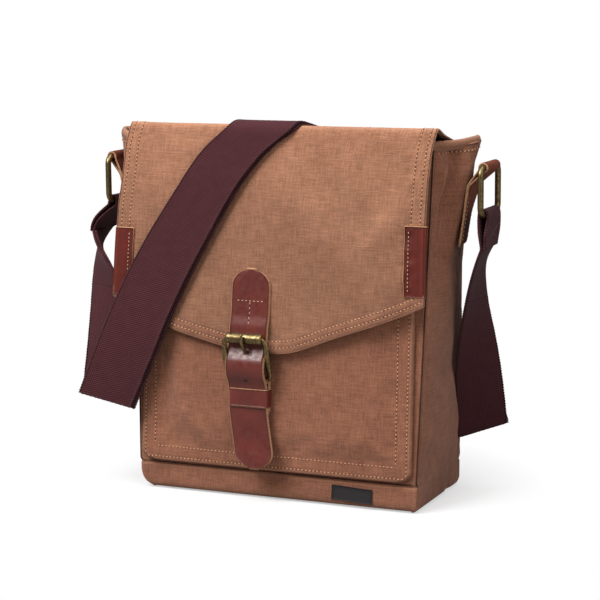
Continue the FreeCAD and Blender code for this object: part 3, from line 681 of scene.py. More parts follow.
SETTLED_BACK = settled_cloth(232, 236, held_all_round, 0.010, 0.6, 3.2, 11)
SETTLED_POCKET = settled_cloth(218, 146, held_pocket, 0.012, 0.5, 2.2, 12)
SETTLED_FLAP = settled_cloth(245, 160, held_flap, 0.012, 0.3, 2.6, 13)
SETTLED_RIGHT = settled_cloth(92, 262, held_all_round, 0.018, 0.5, 3.4, 14)
SETTLED_LEFT = settled_cloth(92, 262, held_all_round, 0.018, 0.5, 3.4, 15)


# --- bag body ---------------------------------------------------------------------------------

def half_width(height, side=-1):
    """Half width of the body; the left base corner is worn rounder than the right one."""
    rounding = np.where(np.asarray(side) > 0, RIGHT_CORNER_ROUND, CORNER_ROUND)
    low_round = np.clip(1 - np.asarray(height, float) / rounding, 0, 1)
    pull = rounding * (1 - np.sqrt(1 - np.clip(low_round, 0, 0.999) ** 2))
    return 112.0 + 8.0 * height / BODY_HEIGHT - 0.9 * pull


def half_depth(height):
    return 50.0 - 17.0 * np.asarray(height, float) / BODY_HEIGHT


def gusset_bow(height, across, side=0):
    """How far the gusset stands out; the right one stands out less than the left one."""
    height = np.asarray(height, float)
    belly = GUSSET_BELLY + np.where(side > 0, -4.5, np.where(side < 0, -1.0, 0.0))
    ridge = belly + (EAR_FLARE - 1.0 * (side > 0)) * (height / BODY_HEIGHT) ** 4.3
    fade = np.minimum(1.0, height / 60.0)
    return ridge * fade * (1 - np.abs(across) ** 1.4)


def mouth_level(across):
    """Height of the rim: level in front and at the ears, lower behind."""
    across = np.asarray(across, float)
    return BODY_HEIGHT + 2.5 * bump(0.05, 0.45, across) - MOUTH_DROP * ramp(0.15, 1.0, across)


def edge_roll(distance, radius=SEAM):
    """How far a panel turns inwards at a distance from its sewn edge."""
    share = np.clip(1 - distance / radius, 0, 0.999)
    return radius * (1 - np.sqrt(1 - share ** 2))


def wrinkle(points, amount, seed):
    broad = noise(points, 52.0, seed)
    narrow = noise(points * np.array([1.0, 1.0, 0.55]), 21.0, seed + 1)
    return amount * (broad + 0.4 * narrow)


def panel_surface(sheet, seed):
    def surface(x, rise):
        plain = sheet.at(x, rise, 0)
        edge = half_width(rise) - np.abs(x)
        swell = 1.3 * ramp(0, 40, edge) * ramp(BASE_STRIP, 70, rise) * ramp(PANEL_TOP, 200, rise)
        out = wrinkle(plain, 0.7, seed) * ramp(0, 14, edge) + swell
        if sheet is BACK:
            out = out + SETTLED_BACK(0.5 + x / 236.0, (rise - BASE_STRIP) / 236.0)
        out = out - edge_roll(edge) - edge_roll(rise - BASE_STRIP - 0.4)
        return plain + out[..., None] * sheet.normal
    return surface


def gusset_surface(side):
    def surface(across, height):
        """across runs from -1 at the front to 1 at the back."""
        bow = gusset_bow(height, across, side)
        depth = half_depth(height) - SEAM
        edge = (1 - np.abs(across)) * depth
        top = ramp(170, 255, height)
        fold = -4.6 * bump(-0.62, 0.13, across) * top - 2.0 * bump(0.55, 0.2, across) * top
        fold = fold + (5.0 if side > 0 else 2.0) * bump(-0.36, 0.24, across) * ramp(
            120, 225, height) * ramp(1.02, 0.9, height / BODY_HEIGHT)
        pillow = bump(243, 17, height) - 0.9 * bump(198, 17, height)
        fold = fold + 3.2 * pillow * bump(-0.5, 0.32, across)
        lean = 0.2 * ramp(200, 262, height)
        fold = fold - 4.0 * bump(-0.78 + lean, 0.06, across) * ramp(150, 225, height)
        fold = fold - 3.2 * bump(-0.2 + lean, 0.07, across) * ramp(190, 245, height)
        crease = -1.2 * bump(0.0, 0.10, across - 0.5 + height / 260.0) * ramp(120, 40, height)
        base = np.stack(np.broadcast_arrays(side * 115.0, depth * across, height), axis=-1)
        wave = wrinkle(base, 1.0, 40 + side) * ramp(0, 12, edge) * ramp(4, 30, height)
        settled = SETTLED_RIGHT if side > 0 else SETTLED_LEFT
        wave = wave + 0.5 * settled((across + 1) / 2, height / 262.0)
        x = half_width(height, side) + bow + (fold + crease) * ramp(0, 8, edge) + wave
        x = x - edge_roll(edge)
        y = depth * across
        return np.stack(np.broadcast_arrays(side * x, y, height), axis=-1)
    return surface


def body_panel(name, sheet, node, seed):
    top = PANEL_TOP - (MOUTH_DROP if sheet is BACK else 0)
    rises = np.linspace(BASE_STRIP + 0.4, top, 110)
    shares = np.sin(np.linspace(-1, 1, 130) * math.pi / 2 * 0.98) / math.sin(
        math.pi / 2 * 0.98)
    share, rise = np.meshgrid(shares, rises, indexing="ij")
    x = share * half_width(rise)
    grid = panel_surface(sheet, seed)(x, rise)
    places = np.stack([x, rise], axis=-1)
    if sheet is BACK:
        grid, places = grid[::-1], places[::-1]
    shape = Shape()
    slab(shape, grid, places, 1.5)
    if sheet is not BACK:
        # Painted shadow along each side seam: a thin dark tube lies in the groove, on the line of
        # the seam.
        for side in (-1, 1):
            line_x = side * (half_width(rises) - SEAM_LINE_INSET)
            line = panel_surface(sheet, seed)(line_x, rises) + 0.25 * sheet.normal
            tube(shape, line, 0.6, 8, False, 1)
    return shape.build(name, [CANVAS_SHADED_BODY, HOLE_SHADE], "bag", node, "canvas")


def gusset(side, name, node):
    surface = gusset_surface(side)
    across = np.sin(np.linspace(-1, 1, 72) * math.pi / 2 * 0.97) / math.sin(
        math.pi / 2 * 0.97)
    heights = np.linspace(0.8, PANEL_TOP, 130)
    a, h = np.meshgrid(across, heights, indexing="ij")
    h = h * (mouth_level(a) - 3.6) / (heights[-1])
    grid = surface(a, h)
    places = np.stack([a * half_depth(h) + 400, h], axis=-1)
    if side < 0:
        grid, places = grid[::-1], places[::-1]
    shape = Shape()
    slab(shape, grid, places, 1.5)
    return shape.build(name, [CANVAS_SHADED_BODY], "bag", node, "canvas")


def base_panel():
    """Base and the strips turned up in front and behind, as one sheet."""
    corner = 6.0
    profile = [FRONT.at(0, BASE_STRIP, 0)[1:], FRONT.at(0, corner, 0)[1:]]
    profile += [(-50 + 0.9, 2.6), (-50 + 3.2, 0.7), (-50 + corner, 0.35)]
    mirrored = [(-y, z) for y, z in profile[::-1]]
    path = smooth_path([(0, y, z) for y, z in list(profile) + mirrored], 1.5, 1.3)
    shares = np.concatenate([np.linspace(-1, -0.93, 10)[:-1], np.linspace(-0.93, 0.93, 90),
                             np.linspace(0.93, 1, 10)[1:]])
    steps = len(path)
    share, step = np.meshgrid(shares, np.arange(steps), indexing="ij")
    height = path[step, 2]
    width = half_width(np.maximum(height, 0.5), np.sign(share))
    x = share * width
    edge = width - np.abs(x)
    ahead = unit(np.gradient(path, axis=0))
    normal = np.cross([1.0, 0, 0], -ahead)
    lengths = path_lengths(path)
    to_end = np.minimum(lengths, lengths[-1] - lengths)[step]
    centre = path[step]
    out = -edge_roll(edge) - edge_roll(to_end, 1.6)
    raised = ramp(2, 12, np.minimum(height, 14))
    out = out + 0.5 * noise(np.stack([x, centre[..., 1], height], -1), 30.0, 9) * raised
    grid = np.stack([x, centre[..., 1], centre[..., 2]], -1) + out[..., None] * normal[step]
    grid[..., 2] = np.maximum(grid[..., 2], 0.1)
    places = np.stack([x, lengths[step]], axis=-1)
    shape = Shape()
    slab(shape, grid[::-1], places[::-1], 1.6)
    return shape.build("base_panel_cloth", [CANVAS_SHADED_BODY], "bag", "base_panel", "canvas")


def mouth_line(inset=0.0, height=BODY_HEIGHT, side_inset=0.0, level=False):
    """Outline of the body at a height, seen from above, with pointed ears at the gussets."""
    across = np.linspace(-1, 1, 41)
    depth = (half_depth(height) - inset) * across
    middle = 1 - np.abs(across) ** 4
    sides = []
    for side in (1, -1):
        width = half_width(height) + gusset_bow(height, across, side) - inset
        width = width - side_inset * middle
        rim = mouth_level(across) - BODY_HEIGHT if level else 0 * across
        sides.append(np.stack([side * width, depth, height + rim], -1))
    right, left = sides[0], sides[1][::-1]
    steps = np.linspace(0, 1, 60)[1:-1, None]
    back = right[-1] * (1 - steps) + left[0] * steps
    front = left[-1] * (1 - steps) + right[0] * steps
    return np.vstack([right, back, left, front])


def mouth_hem():
    """Rolled and stitched hem around the mouth."""
    line = mouth_line(1.6, 265.0, 0.0, True)
    shape = Shape()
    tube(shape, line, 2.3, 14, True, 0, 1.6, (0, 0, 1))
    for side in (-1, 1):
        surface = gusset_surface(side)
        across = np.linspace(-0.96, 0.96, 60) * side
        height = mouth_level(across) - 8.2
        points = surface(across, height)
        step = surface(across + 0.02, height) - surface(across - 0.02, height)
        normal = unit(np.cross(step, np.array([0, 0, 1.0]))) * side
        stitches(shape, points + normal * 0.05, normal, slot=1, hole_slot=2)
    return shape.build("mouth_hem", [CANVAS_SHADED_BODY, THREAD, HOLE_SHADE], "bag", "mouth_binding",
                       "canvas")


def lining():
    """Inner bag: walls that follow the body from inside, and a floor."""
    rows = []
    heights = np.concatenate([np.linspace(6.0, 14.0, 5), np.linspace(18, 263.5, 60)])
    for height in heights:
        line = mouth_line(3.4, height, 7.0, False)
        line[:, 2] += (mouth_level(line[:, 1] / half_depth(height)) - BODY_HEIGHT) * (
            ramp(150, 263, height))
        soft = 0.9 * noise(line, 40.0, 61)
        pull = 5.0 * ramp(14, 5.5, height)
        centre = unit(line * np.array([1.0, 1.0, 0]))
        rows.append(line - centre * (pull + soft[:, None] * ramp(6, 30, height)))
    grid = np.stack(rows, axis=0)
    floor = [grid[0] * np.array([s, s, 1.0]) for s in (0.02, 0.35, 0.7, 0.9)]
    for row in floor:
        row[:, 2] = 6.0
    grid = np.concatenate([np.stack(floor), grid])
    rows_count, columns = grid.shape[:2]
    run = path_lengths(grid[-1])
    places = np.stack(np.broadcast_arrays(run[None, :], grid[..., 2]), -1)
    shape = Shape()
    faces = grid_faces(rows_count, columns, False, True)
    inner = grid * 1.0
    outer = grid + unit(grid * np.array([1.0, 1, 0])) * 0.7
    outer[:len(floor), :, 2] -= 0.7
    first = shape.add(inner, places, faces)
    second = shape.add(outer, places, faces[:, ::-1])
    last = (rows_count - 1) * columns
    for i in range(columns):
        j = (i + 1) % columns
        shape.faces.append([first + last + i, first + last + j, second + last + j,
                            second + last + i][::-1])
        shape.faces.append([first + i, first + j, second + j, second + i])
        shape.slots.extend([0, 0])
    for start in (first, second):
        ring = [start + i for i in range(columns)]
        shape.faces.append(ring if start == second else ring[::-1])
        shape.slots.append(0)
    return shape.build("lining_bag", [LINING], "bag", "lining", "lining_fabric")


# --- pocket and label -------------------------------------------------------------------------

def pocket_surface(x, rise):
    """Patch pocket: flat hemmed border and a soft belly in the middle."""
    side = POCKET_HALF - np.abs(x)
    low = rise - POCKET_BOTTOM
    near = np.minimum(side, low)
    border = 4.2 + 3.6 * ramp(8, 45, near)
    corner = np.hypot(np.maximum(10 - side, 0), np.maximum(10 - low, 0))
    near = np.where((side < 10) & (low < 10), 10 - corner, near)
    plain = FRONT.at(x, rise, 0)
    out = border + wrinkle(plain, 0.55, 71) * ramp(6, 30, near)
    out = out + SETTLED_POCKET(0.5 + x / 218.0, low / 146.0) * ramp(6, 20, near)
    out = out + 0.35 * ramp(14.0, 12.0, near)
    for row in (3.4, 11.6):
        out = out - 0.35 * bump(row, 0.9, near)
    out = out - 3.6 * (1 - np.sqrt(1 - np.clip(1 - near / 2.4, 0, 0.999) ** 2))
    out = np.minimum(out, POCKET_OUT)
    return plain + out[..., None] * FRONT.normal


def pocket_shift(x, rise):
    """Keeps the pocket's corners rounded by drawing its outline in near them."""
    radius = 8.0
    low = np.clip(radius - (rise - POCKET_BOTTOM), 0, radius * 0.999)
    pull = radius - np.sqrt(radius ** 2 - low ** 2)
    return x * (1 - pull / POCKET_HALF)


def front_pocket():
    fine = np.linspace(0, 8, 10)
    half = POCKET_HALF
    xs = np.concatenate([-half + fine, np.linspace(-half + 9.5, half - 9.5, 110),
                         (half - fine)[::-1]])
    rises = np.concatenate([POCKET_BOTTOM + fine, np.linspace(POCKET_BOTTOM + 9.5, POCKET_TOP,
                                                              90)])
    x, rise = np.meshgrid(xs, rises, indexing="ij")
    grid = pocket_surface(x, rise)
    grid[..., 0] = pocket_shift(x, rise)
    places = np.stack([x + 300, rise], -1)
    shape = Shape()
    slab(shape, grid, places, 1.5)
    thing = shape.build("pocket_cloth", [CANVAS_SHADED_BODY], "bag", "front_pocket", "canvas")
    thread = Shape()
    for inset in (3.4, 11.6):
        low, side = POCKET_BOTTOM + inset, POCKET_HALF - inset
        rows = np.linspace(low + 1.5, POCKET_TOP - 2, 240)
        across = np.linspace(-side + 1.5, side - 1.5, 300)
        stitch_on(thread, pocket_surface, -side, rows, 0.05)
        stitch_on(thread, pocket_surface, side, rows, 0.05)
        stitch_on(thread, pocket_surface, across, low, 0.05)
    for row in (POCKET_TOP - 3.5, POCKET_TOP - 15):
        stitch_on(thread, pocket_surface, np.linspace(-94, 94, 200), row, 0.05)
    thread.build("pocket_stitches", [THREAD, HOLE_SHADE], "bag", None, "canvas")
    return thing


def side_label():
    tilt = math.radians(-2.0)

    def surface(u, v):
        x = 62.4 + u * math.cos(tilt) - v * math.sin(tilt)
        rise = 10.0 + u * math.sin(tilt) + v * math.cos(tilt)
        out = 0.9 + 0.35 * np.sin(u / 6.0) + 0.4 * ramp(3, 5, v)
        return FRONT.at(x, rise, out)

    u, v = np.meshgrid(np.linspace(-15.8, 15.8, 40), np.linspace(-5.3, 5.3, 14), indexing="ij")
    shape = Shape()
    slab(shape, surface(u, v), np.stack([u, v], -1), 0.55)
    for side in (-14.4, 14.4):
        stitch_on(shape, surface, side, np.linspace(-4.6, 4.6, 12), 0.03, length=1.4,
                  pitch=2.0, radius=0.2, slot=0, hole_slot=0)
    return shape.build("side_label_weave", [LABEL], "bag", "side_label", "label_fabric")


# --- flap -------------------------------------------------------------------------------------

# Outer face of the flap from the seam on the back, over the crown and the fold, to the tip.
FLAP_LINE = smooth_path([(0, 35.7, 247.0), (0, 35.3, 256.0), (0, 34.9, 261.4), (0, 32.0, 263.6),
                         (0, 20.0, 263.0), (0, 0.0, 266.8), (0, -22.0, 272.6),
                         (0, -34.0, 277.4), (0, -37.4, 278.4), (0, -39.2, 276.4),
                         (0, -39.8, 273.4),
                         (0, -57.7, 108.0)], 0.5, 1.5)
FLAP_RUN = path_lengths(FLAP_LINE)
FLAP_AHEAD = unit(np.gradient(FLAP_LINE, axis=0))
FLAP_OUT = np.cross(FLAP_AHEAD, [1.0, 0, 0])
FOLD_RUN = FLAP_RUN[np.argmax(FLAP_LINE[:, 1] < -38.5)]
CROWN_JOIN = FLAP_RUN[np.argmax(FLAP_LINE[:, 1] < 0.0)]
if FLAP_OUT[len(FLAP_OUT) // 2][1] > 0:
    FLAP_OUT = -FLAP_OUT


def on_line(run, table):
    return np.stack([np.interp(run, FLAP_RUN, column) for column in table.T], axis=-1)


def run_at_height(height):
    """Distance along the flap line to a height on its hanging part."""
    hanging = FLAP_RUN > FOLD_RUN
    return np.interp(-np.asarray(height, float), -FLAP_LINE[hanging, 2], FLAP_RUN[hanging])


# Distance below the front fold, and there the middle and the half width of the flap.
FLAP_SHAPE = smooth_path([(0, 2.6, 121.2), (15, -1.1, 121.4), (36, -2.8, 121.3),
                          (61, -4.9, 122.6), (97, -5.2, 123.6), (150, -5.0, 124.8)], 1.0, 4.0)


def flap_middle(run):
    return np.interp(run, np.append(0, FOLD_RUN + FLAP_SHAPE[:, 0]),
                     np.append(1.5, FLAP_SHAPE[:, 1]))


def flap_half(run):
    return np.interp(run, np.append(0, FOLD_RUN + FLAP_SHAPE[:, 0]),
                     np.append(120.5, FLAP_SHAPE[:, 2]))


# Lower edge of the flap, as (x, height).
EDGE_LINE = smooth_path([(-134, 150), (-128, 147), (-105, 137), (-77, 125.4), (-55, 119.9),
                         (-36, 115.8), (-12, 113.4), (9, 113), (20, 115), (30, 118.5),
                         (49, 126), (87, 139.5), (109, 148.6), (121, 154.5), (128, 158)],
                        1.0, 4.0)


def edge_run(share):
    """Distance along the flap line to the lower edge, at a share of the width."""
    run = FOLD_RUN + 130 + 0 * share
    for _ in range(3):
        x = flap_middle(run) + share * flap_half(run)
        height = np.interp(x, EDGE_LINE[:, 0], EDGE_LINE[:, 1])
        run = run_at_height(height)
    return run


def flap_surface(share, run):
    """Outer face of the flap; share runs from -1 at the left edge to 1 at the right."""
    share, run = np.broadcast_arrays(np.asarray(share, float), np.asarray(run, float))
    middle, half = flap_middle(run), flap_half(run)
    x = middle + share * half
    centre = on_line(run, FLAP_LINE)
    points = np.stack([x, centre[..., 1], centre[..., 2]], -1)
    normal = on_line(run, FLAP_OUT)
    side = (1 - np.abs(share)) * half
    down = ramp(FOLD_RUN, FOLD_RUN + 40, run)
    out = wrinkle(points, 0.55, 21) * (0.25 + 0.75 * down) * ramp(0, 20, side)
    settled = SETTLED_FLAP(0.5 + share / 2, (run - FOLD_RUN) / 162.0) * down
    out = out + settled * ramp(2, 16, side) * (0.3 + 0.7 * ramp(0.1, 0.4, share))
    out = out + 0.3 * ramp(13.0, 11.5, side)
    for row in (3.6, 10.4):
        out = out - 0.3 * bump(row, 0.9, side)
    out = np.minimum(out, 0.7 + 1.6 * ramp(0.15, 0.4, share) * down)
    return points + out[..., None] * normal


def side_shares(count=120):
    shares = np.linspace(-1, 1, count)
    edge = np.linspace(0, 0.10, 14)
    return np.unique(np.round(np.concatenate([shares[np.abs(shares) < 0.895], -1 + edge,
                                              1 - edge]), 5))


def flap_grid(start, end, rows, trim=0.0, drop=0.0, shares=None):
    """Grid over the flap; end None means down to the shaped lower edge."""
    shares = side_shares() if shares is None else shares
    shares = shares * (1 - trim / 122.0)
    share, part = np.meshgrid(shares, np.linspace(0, 1, rows), indexing="ij")
    finish = edge_run(share) - trim if end is None else np.full(share.shape, float(end))
    run = start + (finish - start) * part
    grid = flap_surface(share, run)
    normals = on_line(run, FLAP_OUT)
    places = np.stack([share * 122.0, -run], -1)
    return grid - normals * drop, places


def outward_first(grid, places, reference):
    """Turns the grid over if its normals point against a reference direction."""
    middle = grid_normals(grid)[grid.shape[0] // 2, grid.shape[1] // 2]
    if np.dot(middle, reference) < 0:
        return grid[::-1], places[::-1]
    return grid, places


def hinge_blend(thing):
    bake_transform(thing)


def fold_blend(thing):
    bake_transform(thing)


def flap():
    up, forward = (0, 0, 1.0), (0, -1.0, 0)
    layers = (("canvas", 0.0, 1.5, CANVAS, 0.0), ("lining", 1.75, 0.7, LINING, 2.0))
    for kind, drop, thickness, material, trim in layers:
        slot = "canvas" if kind == "canvas" else "lining_fabric"
        grid, places = flap_grid(2.0 + trim, CROWN_JOIN, 70, trim, drop)
        grid, places = outward_first(grid, places, up)
        shape = Shape()
        slab(shape, grid, places, thickness, cuts=("column_end",))
        thing = shape.build("flap_crown_" + kind + "_cloth", [material], None,
                            "flap_crown_" + kind, slot)
        hinge_blend(thing)
        grid, places = flap_grid(CROWN_JOIN, None, 170, trim, drop)
        grid, places = outward_first(grid, places, forward)
        shape = Shape()
        slab(shape, grid, places, thickness, cuts=("column_start",))
        thing = shape.build("flap_front_" + kind + "_cloth", [material], None,
                            "flap_front_" + kind, slot)
        fold_blend(thing)


def flap_stitches():
    crown, front = Shape(), Shape()
    for side in (-1, 1):
        for inset in (3.6, 10.4):
            share = side * (1 - inset / 122.0)
            runs = np.linspace(10, CROWN_JOIN, 60)
            stitch_on_flap(crown, share, runs)
            low = edge_run(np.array([share]))[0] - 12
            stitch_on_flap(front, share, np.linspace(CROWN_JOIN, low, 200))
    stitch_on_flap(crown, np.linspace(-0.97, 0.97, 200), 6.0)
    hinge_blend(crown.build("flap_crown_stitches", [THREAD, HOLE_SHADE], None, None, "canvas"))
    fold_blend(front.build("flap_front_stitches", [THREAD, HOLE_SHADE], None, None, "canvas"))


def stitch_on_flap(shape, shares, runs, lift=0.05, **options):
    shares, runs = np.broadcast_arrays(np.asarray(shares, float), np.asarray(runs, float))
    points = flap_surface(shares, runs)
    stitches(shape, points + on_line(runs, FLAP_OUT) * lift, on_line(runs, FLAP_OUT), **options)


def welt_surface(share, above):
    """Raised band along the lower edge; above is the distance up from the edge."""
    run = edge_run(share) - above
    points = flap_surface(share, run)
    swell = 1.25 * np.sqrt(np.clip(1 - ((above - 4.4) / 5.6) ** 2, 0.02, 1))
    swell = swell - 0.4 * bump(3.2, 0.8, above) - 0.3 * bump(8.0, 0.8, above)
    return points + swell[..., None] * on_line(run, FLAP_OUT)


def flap_welt():
    shares = side_shares(200)
    share, above = np.meshgrid(shares, np.linspace(-0.9, 9.8, 20), indexing="ij")
    grid = welt_surface(share, above)
    places = np.stack([share * 122.0 + 700, above], -1)
    grid, places = outward_first(grid, places, (0, -1.0, 0))
    shape = Shape()
    slab(shape, grid, places, 1.0)
    rows = np.linspace(-0.985, 0.985, 500)
    for above in (3.2, 8.0):
        stitches(shape, welt_surface(rows, above), on_line(edge_run(rows) - above, FLAP_OUT),
                 slot=1, hole_slot=2)
    thing = shape.build("flap_edge_welt_cloth", [CANVAS_SHADED_WELT, THREAD, HOLE_SHADE], None, "flap_edge_welt",
                        "canvas")
    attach(thing, "flap_front")


def corner_tab(side, name, node):
    """Leather folded round the side edge of the flap, front and back, with one seam."""
    low = edge_run(np.array([side * 0.97]))[0] - (4.5 if side > 0 else 0.0)
    length, reach, leather = 50.0, 14.5, 1.3
    runs = np.linspace(low - 3 - length, low - 3, 60)
    half_turn = np.linspace(-math.pi / 2, math.pi / 2, 13)[1:-1]
    thick = 2.4
    offsets = [(d, 1.55) for d in np.linspace(reach, 1.0, 16)]
    offsets += [(1.0 - thick * math.cos(t), -thick / 2 + 0.2 - 2.0 * math.sin(t))
                for t in half_turn]
    offsets += [(d, -thick - 1.5) for d in np.linspace(1.0, reach - 1.5, 16)]
    grid = np.zeros((len(offsets), len(runs), 3))
    for row, (inset, lift) in enumerate(offsets):
        half = flap_half(runs)
        share = side * (1 - inset / half)
        points = flap_surface(np.clip(share, -1, 1), runs)
        points[:, 0] = flap_middle(runs) + side * (half - inset)
        grid[row] = points + on_line(runs, FLAP_OUT) * lift
    places = np.stack(np.broadcast_arrays(np.arange(len(offsets))[:, None] * 1.0,
                                          runs[None, :]), -1)
    if side < 0:
        grid, places = grid[::-1], places[::-1]
    shape = Shape()
    normals = grid_normals(grid)
    probe = normals[5 if side > 0 else -6, 30]
    if probe[1] > 0:
        grid, places = grid[:, ::-1], places[:, ::-1]
    slab(shape, grid, places, leather, 1)
    share = side * (1 - (reach - 3.0) / 122.0)
    row = np.linspace(low - 3 - length + 3, low - 6, 60)
    stitch_on_flap(shape, share, row, 1.62, slot=2, hole_slot=3, length=1.9, pitch=2.8,
                   radius=0.34)
    thing = shape.build(name, [LEATHER_RED, RAW_EDGE, THREAD_PALE, HOLE_SHADE], None, node, "leather")
    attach(thing, "flap_front")


# --- closure ----------------------------------------------------------------------------------

CLOSURE_LINE = [(-52.4, 173.0), (-56.0, 139.0), (-58.4, 131.5), (-59.2, 122.0),
                (-59.9, 117.0), (-62.0, 112.0), (-65.2, 107.0), (-66.3, 101.0), (-65.0, 95.5),
                (-61.6, 90.0), (-60.1, 84.5), (-60.1, 70.0), (-60.5, 57.0), (-62.5, 40.0),
                (-65.5, 27.0)]


CLOSURE_END = 12.5


def closure_centre(height):
    return CLOSURE_X + 0.8 * ramp(110, 150, height) + 7.0 * ramp(75, 20, height)


def leather_strip(shape, path, half_widths, thickness, columns=24, crown=0.35):
    """Strip of leather along a path, slightly domed, with raw edges in the second slot."""
    ahead = unit(np.gradient(path, axis=0))
    normal = unit(np.cross(ahead, [1.0, 0, 0]))
    if normal[len(normal) // 3][1] > 0:
        normal = -normal
    across = np.linspace(-1, 1, columns)
    lengths = path_lengths(path)
    grid = (path[None] + normal[None] * (thickness / 2 + crown * (1 - across[:, None, None] ** 2)
                                         - crown)
            + np.array([1.0, 0, 0]) * (across[:, None] * half_widths[None])[..., None])
    places = np.stack(np.broadcast_arrays(across[:, None] * half_widths[None],
                                          lengths[None]), -1)
    grid, places = outward_first(grid, places, normal[len(normal) // 2])
    slab(shape, grid, places, thickness - 0.1, 1, 2 if thickness > 2 else 0)
    return normal


def closure_strap():
    path = smooth_path([(0, y, z) for y, z in CLOSURE_LINE], 0.3, 1.6)
    path[:, 0] = closure_centre(path[:, 2])
    lengths = path_lengths(path)
    radius = CLOSURE_WIDTH / 2
    from_end = np.minimum(lengths, lengths[-1] - lengths)
    half = np.full(len(path), radius)
    share = np.clip(from_end / CLOSURE_END, 0, 1)
    near = share < 1
    half[near] = radius * np.sqrt(np.maximum(1 - (1 - share[near]) ** 2, 0.05))
    shape = Shape()
    normal = leather_strip(shape, path, half, 2.6)
    up = normal
    height = path[:, 2]
    cross = int(np.argmin(np.abs(height - 150.0)))
    line = np.linspace(-11.0, 11.0, 30)
    row = path[cross] + np.stack([line, 0 * line, 0 * line], -1)
    stitches(shape, row + up[cross] * 1.15, np.repeat(up[cross][None], 30, 0), 2.9, 2.0, 0.36,
             3, 4)
    pick = (height < 150) & (height > 132)
    stitches(shape, path[pick] + up[pick] * 1.3, up[pick], 3.1, 2.1, 0.36, 3, 4)
    # Adjustment holes: real recesses, with walls and bottom in the dark hole colour, painted shade
    # inside them.
    for level in (112.0, 93.0, 76.5):
        spot = int(np.argmin(np.abs(height - level)))
        turns = np.linspace(0, 2 * math.pi, 15)[:-1]
        rim = path[spot] + np.stack([np.cos(turns) * 1.7, 0 * turns, 0 * turns], -1)
        ahead = unit(np.gradient(path, axis=0))[spot]
        rim = rim + ahead * (np.sin(turns) * 1.7)[:, None] + up[spot] * 1.32
        start = shape.add(rim, np.zeros((14, 2)), np.zeros((0, 3), int), 4)
        deep = shape.add(rim - up[spot] * 1.4, np.zeros((14, 2)), np.zeros((0, 3), int), 4)
        shape.faces.append([start + i for i in range(14)])
        shape.faces.append([deep + i for i in range(14)][::-1])
        shape.slots.extend([4, 4])
        for i in range(14):
            j = (i + 1) % 14
            shape.faces.append([start + i, deep + i, deep + j, start + j])
            shape.slots.append(4)
    thing = shape.build("closure_strap_leather", [LEATHER, RAW_EDGE, LEATHER, THREAD_PALE, HOLE_SHADE],
                        None, "closure_strap", "leather")
    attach(thing, "flap_front")


def frame_path(corner=5.5):
    """Centre line of the buckle frame from one end of the heel bar round to the other."""
    heel = FRONT.at(CLOSURE_X, *HEEL_BAR)
    top = FRONT.at(CLOSURE_X, *ROLLER_BAR)
    span = 16.9
    side = np.array([1.0, 0, 0]) * span
    along = unit(top - heel)
    length = np.linalg.norm(top - heel)
    points = []
    corners = [(-1, 0), (1, 0), (1, 1), (-1, 1)]
    for number, (sign, end) in enumerate(corners):
        centre = (heel + along * (corner if end == 0 else length - corner)
                  + side * sign - np.array([1.0, 0, 0]) * sign * corner)
        start = {0: 180, 1: 270, 2: 0, 3: 90}[number]
        for step in np.linspace(0, 90, 8):
            angle = math.radians(start + step)
            points.append(centre + np.array([1.0, 0, 0]) * math.cos(angle) * corner
                          + along * math.sin(angle) * corner)
    return np.array(points), heel, top, along


def buckle():
    points, heel, top, along = frame_path()
    dense = np.vstack([points, points[:1]])
    lengths = path_lengths(dense)
    places = np.linspace(0, lengths[-1], 120, endpoint=False)
    loop = np.stack([np.interp(places, lengths, column) for column in dense.T], -1)
    out = np.cross([1.0, 0, 0], along)
    shape = Shape()
    height = (loop - heel) @ along / np.linalg.norm(top - heel)
    wide = 1.7 + 0.55 * bump(0.5, 0.35, height)
    arch = 1.6 * np.sin(np.clip(height, 0, 1) * math.pi)
    tube(shape, loop + out * arch[:, None], wide, 14, True, 0, 0.8, out)
    shape.build("buckle_frame_brass", [BRASS], "buckle", "buckle_frame", "brass")
    roller = Shape()
    half = 14.3
    ends = np.array([-half, -half + 0.4, -half + 1.4, half - 1.4, half - 0.4, half])
    xs = np.concatenate([ends[:3], np.linspace(-half + 2, half - 2, 24), ends[3:]])
    radii = np.interp(xs, ends, [3.2, 3.8, 4.0, 4.0, 3.8, 3.2])
    line = top + np.stack([xs, 0 * xs, 0 * xs], -1)
    tube(roller, line, radii, 36, False, 0, 1.0, (0, 0, 1.0))
    # Painted shade: a thin dark line along the roller stands for the shade in its seam groove.
    seam = top + np.array([0, -4.0, 0])
    groove = seam + np.stack([np.linspace(-half + 1, half - 1, 20), 0 * np.arange(20.0),
                              0 * np.arange(20.0)], -1)
    tube(roller, groove, 0.16, 5, False, 1, 1.0, (0, 0, 1.0))
    roller.build("buckle_roller_brass", [BRASS, HOLE_SHADE], "buckle_roller", "buckle_roller",
                 "brass")
    tongue = Shape()
    pin = smooth_path([(CLOSURE_X, y, z) for y, z in ((-57.5, 94.0), (-60.2, 105.0),
                                                     (-62.5, 112.0), (-70.0, 120.5),
                                                     (-70.9, 127.5))], 0.7, 1.5)
    thin = np.interp(path_lengths(pin), [0, path_lengths(pin)[-1] - 4, path_lengths(pin)[-1]],
                     [1.55, 1.35, 0.9])
    tube(tongue, pin, thin, 14, False, 0, 1.0, (1.0, 0, 0))
    turns = np.linspace(0, 2 * math.pi, 28, endpoint=False)
    eye = heel + np.stack([0 * turns, np.cos(turns) * 2.7, np.sin(turns) * 2.7], -1)
    tube(tongue, eye, 0.95, 10, True, 0, 1.7, (1.0, 0, 0))
    tongue.build("buckle_tongue_brass", [BRASS], "buckle_tongue", "buckle_tongue", "brass")


